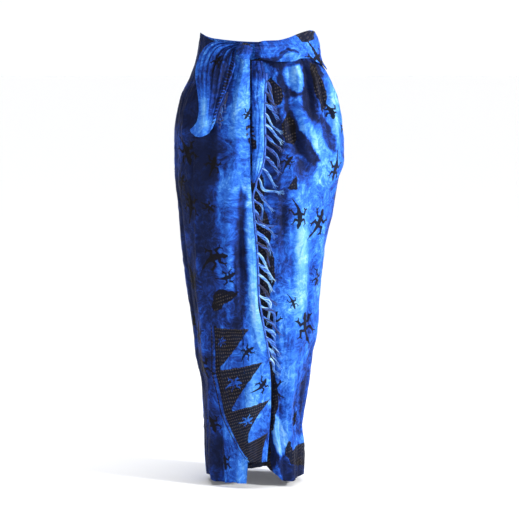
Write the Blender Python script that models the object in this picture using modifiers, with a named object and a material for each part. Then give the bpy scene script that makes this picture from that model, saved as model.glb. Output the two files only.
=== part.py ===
# A wrapped sarong, tied at the front of the waist and held up by its wearer. Metres, +Z up, front towards -Y.
# One fringed cloth goes round the body more than once: it starts under the left front panel, passes the right
# side and the back, and ends in the left front panel, whose fringed edge runs down the middle of the front.
# Angles are degrees round the body: 0 is the middle of the front, 90 the right side as seen from the front
# and 180 the back. They go on to 360 and past it for the left front panel, which lies over the under layer.
# Drops are distances below the waist's level, and rises are distances out from the plain level rings.
import math
import random
from collections import namedtuple

import bmesh
import bpy
import numpy as np

COLLECTION = "sarong"

# Driving sizes
LENGTH = 0.994  # from the waist's level to the hem
WALL = 0.002  # thickness of the cloth's solid
SEAM_GAP = 0.0005  # between neighbouring pieces of one cloth
UNDER_START = -60.0  # angle where the under layer ends, hidden behind the left front panel
HIDDEN_COLUMNS = 0.16  # share of the under layer's columns that are hidden there
RIGHT_SIDE = 90.0  # angles where the under layer, the back and the left front panel meet
LEFT_SIDE = 270.0
LAYER_DEPTH = 0.014  # how far the under layer lies inside the rings
LAYER_SHELF = 9.0  # degrees past the free edge over which it keeps that depth
LAYER_RAMP = 24.0  # degrees over which it then comes out to the rings
FOLD_FADE = 0.04  # length over which a fold fades beyond its ends
MOST_DENT = 0.007  # deepest fold of the left front panel, which lies on the under layer
BODY_ROWS = 18
ROW_SPREAD = 1.25  # over 1, so that the rows lie closer at the waist than at the hem
EDGE_REACH = 0.004  # how far past the free edge what lies on the cloth still clears it
PILE_CLEAR = 0.0028  # from a cloth's outer face to the outer face of what lies on it
BAND_CLEAR = 0.006  # the same under the waist band, which lies on gathers
BAND_END_CLEAR = 0.0048  # and where the band ends on the smooth side
BAND_SPAN = 4.0  # degrees of folds that the band spans to each side
TAIL_SPAN = 0.008  # distance over which the left tail spans them

# The body of the garment as level rings: half widths to each side, and depths to the front and the back
Ring = namedtuple("Ring", "drop left right front back")
RINGS = (
    Ring(-0.030, 0.132, 0.116, 0.084, 0.096),
    Ring(0.000, 0.136, 0.128, 0.086, 0.100),
    Ring(0.035, 0.142, 0.133, 0.090, 0.106),
    Ring(0.076, 0.156, 0.156, 0.096, 0.116),
    Ring(0.131, 0.181, 0.178, 0.104, 0.128),
    Ring(0.214, 0.193, 0.191, 0.110, 0.138),
    Ring(0.269, 0.193, 0.192, 0.113, 0.136),
    Ring(0.310, 0.192, 0.179, 0.115, 0.131),
    Ring(0.380, 0.184, 0.168, 0.116, 0.124),
    Ring(0.450, 0.179, 0.152, 0.116, 0.117),
    Ring(0.545, 0.168, 0.140, 0.114, 0.111),
    Ring(0.655, 0.152, 0.131, 0.111, 0.106),
    Ring(0.711, 0.147, 0.118, 0.109, 0.104),
    Ring(0.780, 0.132, 0.109, 0.106, 0.103),
    Ring(0.876, 0.127, 0.095, 0.103, 0.104),
    Ring(0.931, 0.126, 0.099, 0.102, 0.106),
    Ring(1.020, 0.116, 0.095, 0.100, 0.108),
)

# The waist's edge and the hem, as heights above the waist's level and above LENGTH round the body
Edge = namedtuple("Edge", "angle height")
WAIST_EDGE = (
    Edge(-90, 0.019),
    Edge(-60, 0.008),
    Edge(-40, -0.004),
    Edge(15, -0.006),
    Edge(32, 0.001),
    Edge(48, 0.012),
    Edge(66, 0.021),
    Edge(90, 0.018),
    Edge(130, 0.006),
    Edge(180, 0.000),
    Edge(230, 0.008),
    Edge(270, 0.021),
    Edge(292, 0.014),
    Edge(316, 0.000),
    Edge(334, -0.003),
    Edge(346, -0.008),
    Edge(380, -0.008),
)
HEM_EDGE = (
    Edge(-90, 0.030),
    Edge(-20, 0.030),
    Edge(10, 0.036),
    Edge(22, 0.022),
    Edge(38, 0.001),
    Edge(60, 0.000),
    Edge(90, 0.004),
    Edge(180, 0.000),
    Edge(240, -0.004),
    Edge(285, 0.006),
    Edge(312, -0.004),
    Edge(338, 0.000),
    Edge(346.5, 0.000),
    Edge(348, 0.050),
    Edge(380, 0.046),
)

# The free, fringed edge of the left front panel: its place across the front at each drop
FreeEdge = namedtuple("FreeEdge", "drop across")
FREE_EDGE = (
    FreeEdge(-0.030, -0.021),
    FreeEdge(0.280, -0.021),
    FreeEdge(0.340, -0.018),
    FreeEdge(0.395, -0.014),
    FreeEdge(0.476, -0.007),
    FreeEdge(0.585, -0.003),
    FreeEdge(0.635, 0.007),
    FreeEdge(0.690, 0.017),
    FreeEdge(0.760, 0.027),
    FreeEdge(0.820, 0.030),
    FreeEdge(0.880, 0.027),
    FreeEdge(0.930, 0.021),
    FreeEdge(1.020, 0.016),
)

# Folds are ridges, or troughs where the rise is negative, that run through three places, each a drop and
# an angle. Widths are half widths in degrees, the shares say how much of the rise is left at the fold's
# ends, and lean makes one flank steeper.
Fold = namedtuple(
    "Fold",
    "top top_at middle middle_at bottom bottom_at top_width bottom_width rise top_share bottom_share lean",
)
LEFT_FOLDS = (
    Fold(-0.03, 347, 0.15, 346, 0.36, 343, 7, 10, 0.015, 0.5, 0.2, 0.2),
    Fold(0.26, 341, 0.40, 338, 0.62, 339, 8, 6, 0.010, 0.4, 0.0, 0.2),
    Fold(0.34, 347, 0.48, 348, 0.66, 349, 4, 4, -0.008, 0.2, 0.0, 0.0),
    Fold(0.30, 353, 0.52, 354, 0.74, 364, 4, 7, 0.008, 0.2, 0.3, 0.0),
    Fold(0.12, 326, 0.22, 324, 0.36, 322, 7, 9, -0.008, 0.1, 0.0, 0.0),
    Fold(0.10, 299, 0.17, 298, 0.26, 297, 4, 5, 0.007, 0.1, 0.0, 0.0),
    Fold(0.20, 283, 0.50, 286, 0.90, 285, 6, 6, -0.006, 0.1, 0.2, 0.0),
    Fold(0.40, 308, 0.60, 305, 1.05, 301, 8, 11, 0.007, 0.1, 1.0, 0.0),
    Fold(0.52, 323, 0.72, 318, 1.05, 313, 6, 8, -0.007, 0.1, 1.0, 0.0),
    Fold(0.66, 350, 0.80, 352, 1.05, 338, 12, 14, 0.010, 0.1, 0.7, 0.0),
)
RIGHT_FOLDS = (
    Fold(0.03, 33, 0.08, 31, 0.128, 28, 8, 7, 0.020, 0.4, 0.2, 0.3),
    Fold(0.10, 28, 0.18, 33, 0.31, 48, 5, 10, 0.014, 0.2, 0.0, 0.0),
    Fold(0.12, 21, 0.21, 25, 0.33, 38, 5, 8, -0.018, 0.1, 0.0, 0.0),
    Fold(0.04, 46, 0.11, 41, 0.21, 40, 5, 5, -0.014, 0.4, 0.0, 0.0),
    Fold(0.04, 53, 0.11, 48, 0.20, 47, 4, 4, 0.008, 0.3, 0.0, 0.0),
    Fold(0.05, 60, 0.13, 55, 0.26, 58, 4, 6, -0.011, 0.3, 0.0, 0.2),
    Fold(0.05, 69, 0.15, 64, 0.30, 69, 5, 8, 0.009, 0.2, 0.0, 0.0),
    Fold(0.06, 82, 0.15, 78, 0.24, 84, 5, 5, -0.005, 0.1, 0.0, 0.0),
    Fold(0.30, 31, 0.47, 38, 0.68, 44, 9, 12, 0.010, 0.1, 0.0, 0.0),
    Fold(0.30, 17, 0.40, 20, 0.52, 24, 4, 6, -0.009, 0.1, 0.0, 0.0),
    Fold(0.36, 66, 0.47, 64, 0.60, 62, 6, 7, 0.007, 0.1, 0.0, 0.0),
    Fold(0.42, 54, 0.60, 57, 0.78, 60, 6, 7, -0.007, 0.1, 0.0, 0.0),
    Fold(0.66, 36, 0.82, 42, 1.05, 48, 8, 12, 0.010, 0.1, 0.8, -0.2),
    Fold(0.83, 23, 0.91, 27, 0.97, 30, 3, 6, 0.009, 0.3, 0.1, 0.0),
    Fold(0.70, 62, 0.85, 66, 1.05, 72, 6, 8, -0.007, 0.1, 1.0, 0.0),
    Fold(0.50, 78, 0.75, 82, 1.05, 86, 7, 8, 0.005, 0.1, 1.0, 0.0),
)
BACK_FOLDS = (
    Fold(0.04, 116, 0.30, 122, 1.05, 121, 8, 10, 0.008, 0.1, 1.0, 0.2),
    Fold(0.12, 132, 0.55, 138, 1.05, 137, 7, 9, -0.009, 0.1, 1.0, 0.0),
    Fold(0.30, 152, 0.60, 155, 1.05, 157, 7, 10, 0.010, 0.1, 1.0, -0.2),
    Fold(0.22, 172, 0.60, 171, 1.05, 176, 7, 9, -0.009, 0.1, 0.9, 0.0),
    Fold(0.34, 190, 0.66, 192, 1.05, 195, 8, 10, 0.011, 0.1, 1.0, 0.2),
    Fold(0.26, 210, 0.60, 212, 1.05, 216, 7, 9, -0.009, 0.1, 1.0, 0.0),
    Fold(0.10, 226, 0.40, 231, 1.05, 236, 8, 9, 0.008, 0.1, 1.0, -0.2),
    Fold(0.06, 250, 0.30, 248, 0.95, 254, 7, 8, -0.006, 0.1, 0.4, 0.0),
    Fold(-0.03, 150, 0.10, 160, 0.26, 182, 7, 6, 0.006, 0.4, 0.0, 0.3),
    Fold(-0.03, 206, 0.10, 200, 0.24, 186, 7, 6, 0.005, 0.4, 0.0, -0.3),
)
# The recess that opens towards the hem between the two front panels dents both layers alike
RECESS = Fold(0.60, 14, 0.84, 18, 1.06, 8, 5, 18, -0.014, 0.1, 1.4, 0.0)

# The leaf-shaped tie end over the left hip: places of its two edges, and how far it stands out between them
Leaf = namedtuple("Leaf", "share left left_height right right_height puff")
LEFT_TAIL = (
    Leaf(0.00, -0.056, 0.000, -0.052, -0.016, 0.004),
    Leaf(0.08, -0.090, 0.001, -0.052, -0.029, 0.008),
    Leaf(0.20, -0.114, -0.009, -0.051, -0.047, 0.011),
    Leaf(0.34, -0.130, -0.038, -0.057, -0.071, 0.013),
    Leaf(0.50, -0.136, -0.078, -0.067, -0.098, 0.014),
    Leaf(0.66, -0.134, -0.116, -0.079, -0.126, 0.014),
    Leaf(0.80, -0.132, -0.150, -0.090, -0.153, 0.013),
    Leaf(0.90, -0.136, -0.176, -0.096, -0.175, 0.012),
    Leaf(1.00, -0.153, -0.197, -0.103, -0.192, 0.008),
)
TAIL_BULGE = 0.017  # how far the middle of its lower edge hangs below the corners
TAIL_GATHERS = 3  # ridges that run out from the knot
TAIL_GATHER_RISE = 0.003
TAIL_GATHER_END = 0.7  # share of the leaf's length at which they fade out
TAIL_ARCH = (0.12, 0.92)  # shares of a half wave that its puff follows from edge to edge

# The gathered corner drawn across the right front: heights of its two edges, and how far it stands out
Band = namedtuple("Band", "angle top bottom puff")
Span = namedtuple("Span", "start end")
WAIST_BAND = (
    Band(-4, -0.002, -0.032, 0.014),
    Band(5, 0.002, -0.040, 0.017),
    Band(17, 0.003, -0.044, 0.015),
    Band(29, 0.009, -0.043, 0.013),
    Band(41, 0.017, -0.036, 0.012),
    Band(53, 0.023, -0.036, 0.010),
    Band(66, 0.026, -0.047, 0.008),
    Band(80, 0.024, -0.058, 0.006),
    Band(92, 0.020, -0.062, 0.004),
    Band(102, 0.015, -0.050, 0.002),
)
BAND_ROLLS = 2  # lengthwise rolls of the gathered cloth
BAND_ROLL_RISE = 0.003
FULL_PUFF = 0.010  # where the band stands out this far, its rolls have their full rise
LEAST_ARCH = 0.3  # share of its arch that stays where it spans higher folds
BAND_ROLL_TURN = 0.8  # of a roll, by which they wind round from the knot to the band's end
BAND_ARCH = (0.08, 0.94)  # shares of a half wave that its puff follows from edge to edge
BAND_SMOOTH = Span(84, 96)  # angles over which the cloth under the band turns smooth

# The narrow tie end beside the free edge: its two edges and how far it stands out between them
Strip = namedtuple("Strip", "drop left right puff")
CENTRE_TAIL = (
    Strip(0.042, -0.0170, 0.0060, 0.003),
    Strip(0.075, -0.0175, 0.0125, 0.006),
    Strip(0.120, -0.0170, 0.0095, 0.008),
    Strip(0.160, -0.0175, 0.0090, 0.007),
    Strip(0.215, -0.0170, 0.0100, 0.008),
    Strip(0.255, -0.0165, 0.0085, 0.006),
    Strip(0.285, -0.0165, 0.0010, 0.004),
    Strip(0.312, -0.0165, -0.0110, 0.002),
)
CENTRE_TAIL_ROUNDNESS = 0.8  # under 1, so that it is fuller than a half wave
CENTRE_TAIL_TUCK = 0.003  # how far its left edge lies deeper than its right

KNOT_ANGLE = 347.4
KNOT_DROP = 0.018
KNOT_HALF = (0.019, 0.011, 0.022)  # across, outwards and upwards
KNOT_LIFT = 0.0122
KNOT_TILT = math.radians(28)  # of the gathers that wrap it
KNOT_GATHERS = 4
KNOT_GROOVE = 0.14

# Fringe: a strip along an edge, and tassels that start from every second stretch of it
STRIP_SHIFT = Span(0.010, 0.030)  # below the centre tail's end, where the strip moves to the free edge
STRIP_GAP = 0.0010  # wider than a seam's gap, because the edges beside the strips curve
STRIP_WIDTH = 0.004
STRIP_THICKNESS = 0.002
TASSEL_STEPS = 5
TASSEL_LIFT = 0.006  # from the cloth under a tassel to its middle
TASSEL_WAVE = 0.0016
TASSEL_ROOT_STEPS = 0.3  # share of its length over which it may lie deeper, by
TASSEL_ROOT_DIP = 0.004
TASSEL_LIFTED_AT = 0.8  # share of its length by which it has left the strip's level
TASSEL_TAPER = 0.45
TASSEL_SWELL = 0.18
TASSEL_FLATNESS = 0.8
TASSEL_LENGTHS = Span(0.85, 1.12)  # shares of the usual length, drawn by chance
TASSEL_LEANS = Span(0.85, 1.15)
FRONT_TASSELS = 27
FRONT_TASSEL_LENGTH = 0.056
FRONT_TASSEL_WIDTH = 0.0065
FRONT_LEAN = 0.68  # sideways share of a tassel's fall
FRONT_FRINGE_TOP = 0.070
FRONT_FRINGE_BOTTOM = 0.715
TAIL_TASSELS = 7
TAIL_TASSEL_LENGTH = 0.024
TAIL_TASSEL_WIDTH = 0.0045
TAIL_LEAN = 0.45
TAIL_FRINGE_FROM = 0.58  # shares of the leaf's length between which its edge is fringed
TAIL_FRINGE_TO = 0.92
TASSEL_SEED = 7

BLUE = (0.03, 0.13, 0.62)
DEEP_BLUE = (0.02, 0.07, 0.38)
PALE_BLUE = (0.10, 0.30, 0.80)
ROUGHNESS = 0.7


def column(table, name, at):
    """One named column of a table as a smooth curve, read at any place along the table's first column."""
    places = np.array([row[0] for row in table], float)
    values = np.array([getattr(row, name) for row in table], float)
    slopes = np.diff(values) / np.diff(places)
    # Flat where the values turn, so that the curve never overshoots the table
    turns = slopes[1:] * slopes[:-1] <= 0
    sums = np.where(turns, 1.0, slopes[1:] + slopes[:-1])
    inner = np.where(turns, 0.0, 2 * slopes[1:] * slopes[:-1] / sums)
    tangents = np.concatenate([slopes[:1], inner, slopes[-1:]])
    at = np.clip(at, places[0], places[-1])
    row = np.clip(np.searchsorted(places, at) - 1, 0, len(places) - 2)
    step = places[row + 1] - places[row]
    t = (at - places[row]) / step
    start = (2 * t**3 - 3 * t**2 + 1) * values[row] + (t**3 - 2 * t**2 + t) * step * tangents[row]
    end = (3 * t**2 - 2 * t**3) * values[row + 1] + (t**3 - t**2) * step * tangents[row + 1]
    return start + end


def ease(t):
    """A soft step from 0 to 1."""
    t = np.clip(t, 0.0, 1.0)
    return t * t * (3 - 2 * t)


def eased(span, at):
    """A soft step over a span."""
    return ease((at - span.start) / (span.end - span.start))


def mix(start, end, share):
    return start + (end - start) * share


def fold_rise(fold, angle, drop):
    """How far one fold moves the cloth outwards."""
    span = fold.bottom - fold.top
    t = np.clip((drop - fold.top) / span, 0.0, 1.0)
    mid = (fold.middle - fold.top) / span
    bend = (fold.middle_at - mix(fold.top_at, fold.bottom_at, mid)) / (mid * (1 - mid))
    off = angle - (mix(fold.top_at, fold.bottom_at, t) + bend * t * (1 - t))
    width = mix(fold.top_width, fold.bottom_width, t) * (1 + fold.lean * np.sign(off))
    across = np.where(np.abs(off) < width, 0.5 + 0.5 * np.cos(np.pi * off / width), 0.0)
    upper = mix(fold.top_share, 1, ease(t / mid))
    lower = mix(1, fold.bottom_share, ease((t - mid) / (1 - mid)))
    along = np.where(t < mid, upper, lower)
    fade = ease(1 + (drop - fold.top) / FOLD_FADE) * ease(1 + (fold.bottom - drop) / FOLD_FADE)
    return fold.rise * across * along * fade


def folds_rise(folds, angle, drop):
    return sum(fold_rise(fold, angle, drop) for fold in folds)


def ring(angle, drop):
    """The plain rings' points and outward directions."""
    side = np.sin(np.radians(angle))
    face = np.cos(np.radians(angle))
    half_width = np.where(side < 0, column(RINGS, "left", drop), column(RINGS, "right", drop))
    depth = np.where(face > 0, column(RINGS, "front", drop), column(RINGS, "back", drop))
    points = np.stack([half_width * side, -depth * face, -drop], axis=-1)
    outward = np.stack([side / half_width, -face / depth, np.zeros_like(drop)], axis=-1)
    return points, outward / np.linalg.norm(outward, axis=-1, keepdims=True)


def front_angle(across, drop):
    """The angle whose front point lies this far to the side of the middle."""
    half_width = np.where(across < 0, column(RINGS, "left", drop), column(RINGS, "right", drop))
    return np.degrees(np.arcsin(np.clip(across / half_width, -0.99, 0.99)))


def free_edge_angle(drop):
    return 360 + front_angle(column(FREE_EDGE, "across", drop), drop)


def recess_rise(angle, drop):
    return fold_rise(RECESS, np.where(angle > 180, angle - 360, angle), drop)


def left_rise(angle, drop):
    """The left front panel, at angles from the left side to the free edge."""
    folds = np.maximum(folds_rise(LEFT_FOLDS, angle, drop), -MOST_DENT)
    return recess_rise(angle, drop) + folds + folds_rise(BACK_FOLDS, angle, drop)


def right_rise(angle, drop):
    """The back and the under layer, at angles up to the left side."""
    past_edge = angle - (free_edge_angle(drop) - 360)
    layer = -LAYER_DEPTH * (1 - ease((past_edge - LAYER_SHELF) / LAYER_RAMP))
    folds = folds_rise(RIGHT_FOLDS, angle, drop) * ease(past_edge / LAYER_SHELF)
    return recess_rise(angle, drop) + layer + folds + folds_rise(BACK_FOLDS, angle, drop)


def cloth(angle, drop, lift=0.0):
    """Points of the wound cloth's outer face, moved outwards by lift."""
    points, outward = ring(angle, drop)
    rise = np.where(angle > LEFT_SIDE - 1, left_rise(angle, drop), right_rise(angle, drop))
    return points + outward * (rise + lift)[..., None]


def top_rise(across, drop):
    """The rise of whichever layer lies outermost at this place on the front."""
    angle = front_angle(across, drop)
    under = right_rise(angle, drop)
    over = left_rise(angle + 360, drop)
    near_edge = across < column(FREE_EDGE, "across", drop) + EDGE_REACH
    return np.where(near_edge, np.maximum(under, over), under)


def highest_near(rise, place, drop, reach):
    """The greatest rise within reach to each side, so that what lies on the cloth spans its folds."""
    return np.maximum.reduce([rise(place + share * reach, drop) for share in (-1, -0.5, 0, 0.5, 1)])


def on_front(across, drop, rise):
    """A point of the front by its place across and its drop, this far out from the rings."""
    points, outward = ring(front_angle(across, drop), drop)
    return points + outward * np.asarray(rise)[..., None]


def drop_at(angle, down):
    """The drop of a row, by its share of the way from the waist's edge to the hem."""
    top = -column(WAIST_EDGE, "height", angle)
    return mix(top, LENGTH - column(HEM_EDGE, "height", angle), down**ROW_SPREAD)


def finish_object(name, work, colour):
    """Makes a filled bmesh into a named object with its own material."""
    mesh = bpy.data.meshes.new(name)
    work.to_mesh(mesh)
    work.free()
    mesh.shade_smooth()
    material = bpy.data.materials.new(name)
    material.use_nodes = True
    shader = material.node_tree.nodes["Principled BSDF"]
    shader.inputs["Base Color"].default_value = (*colour, 1.0)
    shader.inputs["Roughness"].default_value = ROUGHNESS
    mesh.materials.append(material)
    obj = bpy.data.objects.new(name, mesh)
    bpy.data.collections[COLLECTION].objects.link(obj)
    return obj


def sheet(name, columns, rows, place, colour):
    """A thin wall of cloth: a grid laid on place(across, down), both shares, and thickened inwards."""
    work = bmesh.new()
    grid = bmesh.ops.create_grid(work, x_segments=columns, y_segments=rows, size=0.5)
    across = np.array([vert.co.x + 0.5 for vert in grid["verts"]])
    down = np.array([0.5 - vert.co.y for vert in grid["verts"]])
    for vert, point in zip(grid["verts"], place(across, down)):
        vert.co = point
    obj = finish_object(name, work, colour)
    thicken = obj.modifiers.new("thickness", "SOLIDIFY")
    thicken.thickness = WALL
    thicken.offset = -1.0
    thicken.use_even_offset = False
    return obj


def seam_angle(drop):
    """Half of the gap at a seam, as an angle at the rings' sides."""
    return np.degrees(SEAM_GAP / 2 / column(RINGS, "left", drop))


def under_layer_right_front():
    """From behind the left front panel to the right side, with half as many columns where it is hidden."""

    def place(across, down):
        angle = np.interp(across, [0.0, HIDDEN_COLUMNS, 1.0], [UNDER_START, 0.0, RIGHT_SIDE])
        drop = drop_at(angle, down)
        return cloth(np.minimum(angle, RIGHT_SIDE - seam_angle(drop)), drop)

    sheet("under_layer_right_front", 46, BODY_ROWS, place, BLUE)


def back():
    def place(across, down):
        angle = mix(RIGHT_SIDE, LEFT_SIDE, across)
        drop = drop_at(angle, down)
        gap = seam_angle(drop)
        return cloth(np.clip(angle, RIGHT_SIDE + gap, LEFT_SIDE - gap), drop)

    sheet("back", 36, BODY_ROWS, place, DEEP_BLUE)


def left_front_panel():
    """From the left side to the free edge. The hem's corner steps up near the edge."""

    def place(across, down):
        angle = mix(LEFT_SIDE, 360.0, across)
        for _ in range(4):
            drop = drop_at(angle, down)
            angle = mix(LEFT_SIDE + seam_angle(drop), free_edge_angle(drop), across)
        return cloth(angle, drop)

    sheet("left_front_panel", 36, BODY_ROWS, place, BLUE)


def tail_place(across, down):
    """Place across, drop and rise of the left tail at shares of its width and length."""
    x = mix(column(LEFT_TAIL, "left", down), column(LEFT_TAIL, "right", down), across)
    height = mix(column(LEFT_TAIL, "left_height", down), column(LEFT_TAIL, "right_height", down), across)
    drop = TAIL_BULGE * 4 * across * (1 - across) * down**3 - height
    puff = column(LEFT_TAIL, "puff", down) * np.sin(np.pi * mix(*TAIL_ARCH, across))
    fade = 1 - ease(down / TAIL_GATHER_END)
    gathers = TAIL_GATHER_RISE * np.cos(2 * np.pi * TAIL_GATHERS * across) * fade
    below = highest_near(top_rise, x, drop, TAIL_SPAN)
    return x, drop, np.maximum(puff + gathers, 0) + below + PILE_CLEAR


def left_tail():
    sheet("left_tail", 12, 16, lambda across, down: on_front(*tail_place(across, down)), PALE_BLUE)


def waist_band():
    """From the knot to just past the right side, where it ends as the waist's own edge."""

    def place(across, down):
        angle = mix(WAIST_BAND[0].angle, WAIST_BAND[-1].angle, across)
        drop = -mix(column(WAIST_BAND, "top", angle), column(WAIST_BAND, "bottom", angle), down)
        puff = column(WAIST_BAND, "puff", angle)
        arch = puff * np.sin(np.pi * mix(*BAND_ARCH, down))
        turns = BAND_ROLLS * down + BAND_ROLL_TURN * across
        rolls = BAND_ROLL_RISE * ease(puff / FULL_PUFF) * np.cos(2 * np.pi * turns)
        below = highest_near(right_rise, angle, drop, BAND_SPAN)
        clear = mix(BAND_CLEAR, BAND_END_CLEAR, eased(BAND_SMOOTH, angle))
        points, outward = ring(angle, drop)
        return points + outward * np.maximum(arch + rolls, below + clear + LEAST_ARCH * arch)[:, None]

    sheet("waist_band", 26, 10, place, BLUE)


def edge_rise(drop):
    """The rise of the left front panel at its free edge."""
    return left_rise(free_edge_angle(drop), drop)


def panel_edge(drop):
    """Place across and rise of the panel's free edge, straight between its rows as the solid's edge is."""
    rows = drop_at(np.full(BODY_ROWS + 1, 360.0), np.arange(BODY_ROWS + 1) / BODY_ROWS)
    across = column(FREE_EDGE, "across", rows)
    return float(np.interp(drop, rows, across)), float(np.interp(drop, rows, edge_rise(rows)))


def centre_tail():
    """A narrow end with one lengthwise fold, its right edge level with the free edge."""

    def place(across, down):
        drop = mix(CENTRE_TAIL[0].drop, CENTRE_TAIL[-1].drop, down)
        x = mix(column(CENTRE_TAIL, "left", drop), column(CENTRE_TAIL, "right", drop), across)
        puff = column(CENTRE_TAIL, "puff", drop) * np.sin(np.pi * across) ** CENTRE_TAIL_ROUNDNESS
        return on_front(x, drop, edge_rise(drop) - CENTRE_TAIL_TUCK * (1 - across) + puff)

    sheet("centre_tail", 6, 15, place, PALE_BLUE)


def knot():
    """A flat round gather of the two corners, with slanting grooves."""
    work = bmesh.new()
    bmesh.ops.create_uvsphere(work, u_segments=18, v_segments=11, radius=1.0)
    centre = cloth(np.array(KNOT_ANGLE), np.array(KNOT_DROP), np.array(KNOT_LIFT))
    for vert in work.verts:
        along = vert.co.x * math.cos(KNOT_TILT) - vert.co.z * math.sin(KNOT_TILT)
        groove = 1 - KNOT_GROOVE * (0.5 + 0.5 * math.cos(2 * math.pi * KNOT_GATHERS * along / 2))
        vert.co = [centre[i] + KNOT_HALF[i] * groove * vert.co[i] for i in range(3)]
    finish_object("knot", work, BLUE)


def fringe(name, root, count, length, width, lean, colour):
    """Tassels fused at their roots into a strip. root(share) gives the strip's across, drop and rise."""
    rng = random.Random(TASSEL_SEED)
    work = bmesh.new()
    stations = []
    for index in range(2 * count + 1):
        x, drop, rise = root(index / (2 * count))
        corners = [(x, rise), (x + STRIP_WIDTH, rise)]
        corners += [(x + STRIP_WIDTH, rise + STRIP_THICKNESS), (x, rise + STRIP_THICKNESS)]
        places = [on_front(np.array(x_at), np.array(drop), np.array(rise_at)) for x_at, rise_at in corners]
        stations.append([work.verts.new(place) for place in places])
    work.faces.new(stations[0])
    work.faces.new(stations[-1])
    for index in range(2 * count):
        here, after = stations[index], stations[index + 1]
        for side in range(4):
            if side != 1 or index % 2 == 0:
                work.faces.new([here[side], here[(side + 1) % 4], after[(side + 1) % 4], after[side]])
        if index % 2 == 1:
            loop = [here[1], here[2], after[2], after[1]]
            x, drop, rise = root((index + 0.5) / (2 * count))
            start = (x + STRIP_WIDTH, drop, rise + STRIP_THICKNESS / 2)
            own_length = length * rng.uniform(*TASSEL_LENGTHS)
            own_lean = lean * rng.uniform(*TASSEL_LEANS)
            tassel(work, rng, loop, start, own_length, width, own_lean)
    bmesh.ops.recalc_face_normals(work, faces=work.faces)
    finish_object(name, work, colour)


def tassel(work, rng, loop, start, length, width, lean):
    """One wavy four-sided tassel from a strip's open stretch, out and down over the cloth beneath it."""
    across, drop, rise = start
    phase = rng.uniform(0, 2 * math.pi)
    middles, outs = [], []
    for step in range(TASSEL_STEPS + 2):
        t = step / TASSEL_STEPS
        wave = TASSEL_WAVE * math.sin(phase + 5 * t) * t
        x = across + length * (lean * t * (1.1 - 0.25 * t)) + wave
        down = drop + length * (math.sqrt(1 - lean**2) * t * (0.85 + 0.2 * t)) + wave
        ground = float(top_rise(np.array(x), np.array(down))) + TASSEL_LIFT
        least = ground if t > TASSEL_ROOT_STEPS else ground - TASSEL_ROOT_DIP
        height = max(mix(rise, ground, float(ease(t / TASSEL_LIFTED_AT))), least)
        middles.append(on_front(np.array(x), np.array(down), np.array(height)))
        outs.append(ring(front_angle(np.array(x), np.array(down)), np.array(down))[1])
    for step in range(1, TASSEL_STEPS + 1):
        t = step / TASSEL_STEPS
        along = middles[step + 1] - middles[step - 1]
        side = np.cross(along / np.linalg.norm(along), outs[step])
        side = -side / np.linalg.norm(side)
        half = width / 2 * (1.0 - TASSEL_TAPER * t) * (1 + TASSEL_SWELL * math.sin(phase + 9 * t))
        thick = TASSEL_FLATNESS * half
        signs = ((1, -1), (1, 1), (-1, 1), (-1, -1))
        places = [middles[step] + side * a * half + outs[step] * b * thick for a, b in signs]
        ring_verts = [work.verts.new(place) for place in places]
        for i in range(4):
            work.faces.new([loop[i], loop[(i + 1) % 4], ring_verts[(i + 1) % 4], ring_verts[i]])
        loop = ring_verts
    work.faces.new(loop)


def front_fringe():
    """The strip starts beside the centre tail and runs on beside the free edge."""

    def root(share):
        drop = mix(FRONT_FRINGE_TOP, FRONT_FRINGE_BOTTOM, share)
        edge, rise = panel_edge(drop)
        tail = float(column(CENTRE_TAIL, "right", drop))
        past_tail = float(eased(STRIP_SHIFT, drop - CENTRE_TAIL[-1].drop))
        return mix(max(edge, tail), edge, past_tail) + STRIP_GAP, drop, rise - WALL

    size = (FRONT_TASSEL_LENGTH, FRONT_TASSEL_WIDTH)
    fringe("front_fringe", root, FRONT_TASSELS, *size, FRONT_LEAN, PALE_BLUE)


def tail_fringe():
    """The strip lies along the left tail's inner edge."""

    def root(share):
        down = np.array(mix(TAIL_FRINGE_FROM, TAIL_FRINGE_TO, share))
        across, drop, rise = tail_place(np.array(1.0), down)
        return float(across) + STRIP_GAP, float(drop), float(rise) - WALL

    size = (TAIL_TASSEL_LENGTH, TAIL_TASSEL_WIDTH)
    fringe("tail_fringe", root, TAIL_TASSELS, *size, TAIL_LEAN, PALE_BLUE)


def main():
    for obj in list(bpy.data.objects):
        bpy.data.objects.remove(obj, do_unlink=True)
    bpy.context.scene.collection.children.link(bpy.data.collections.new(COLLECTION))
    under_layer_right_front()
    back()
    left_front_panel()
    waist_band()
    knot()
    left_tail()
    centre_tail()
    front_fringe()
    tail_fringe()


main()
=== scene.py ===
import math
import random
from collections import namedtuple

import bpy
import numpy as np
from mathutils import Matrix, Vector


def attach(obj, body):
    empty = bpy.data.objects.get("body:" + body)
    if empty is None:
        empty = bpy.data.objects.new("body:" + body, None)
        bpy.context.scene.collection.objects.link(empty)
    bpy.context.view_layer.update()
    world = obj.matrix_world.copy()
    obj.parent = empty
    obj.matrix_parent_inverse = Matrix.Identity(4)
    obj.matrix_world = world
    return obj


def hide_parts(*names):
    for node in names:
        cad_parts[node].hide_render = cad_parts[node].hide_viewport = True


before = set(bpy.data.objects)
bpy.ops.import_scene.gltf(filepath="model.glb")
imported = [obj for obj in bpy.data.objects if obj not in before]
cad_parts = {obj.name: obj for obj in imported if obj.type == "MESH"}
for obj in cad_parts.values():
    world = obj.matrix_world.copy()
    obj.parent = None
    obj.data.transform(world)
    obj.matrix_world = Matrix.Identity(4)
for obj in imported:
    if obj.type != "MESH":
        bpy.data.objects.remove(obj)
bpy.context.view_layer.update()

# Driving sizes
LENGTH = 0.994  # from the waist's level to the hem
WALL = 0.002  # thickness of the cloth's solid
UNDER_START = -60.0  # angle where the under layer ends, hidden behind the left front panel
LEFT_SIDE = 270.0  # angle where the back and the left front panel meet
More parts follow.
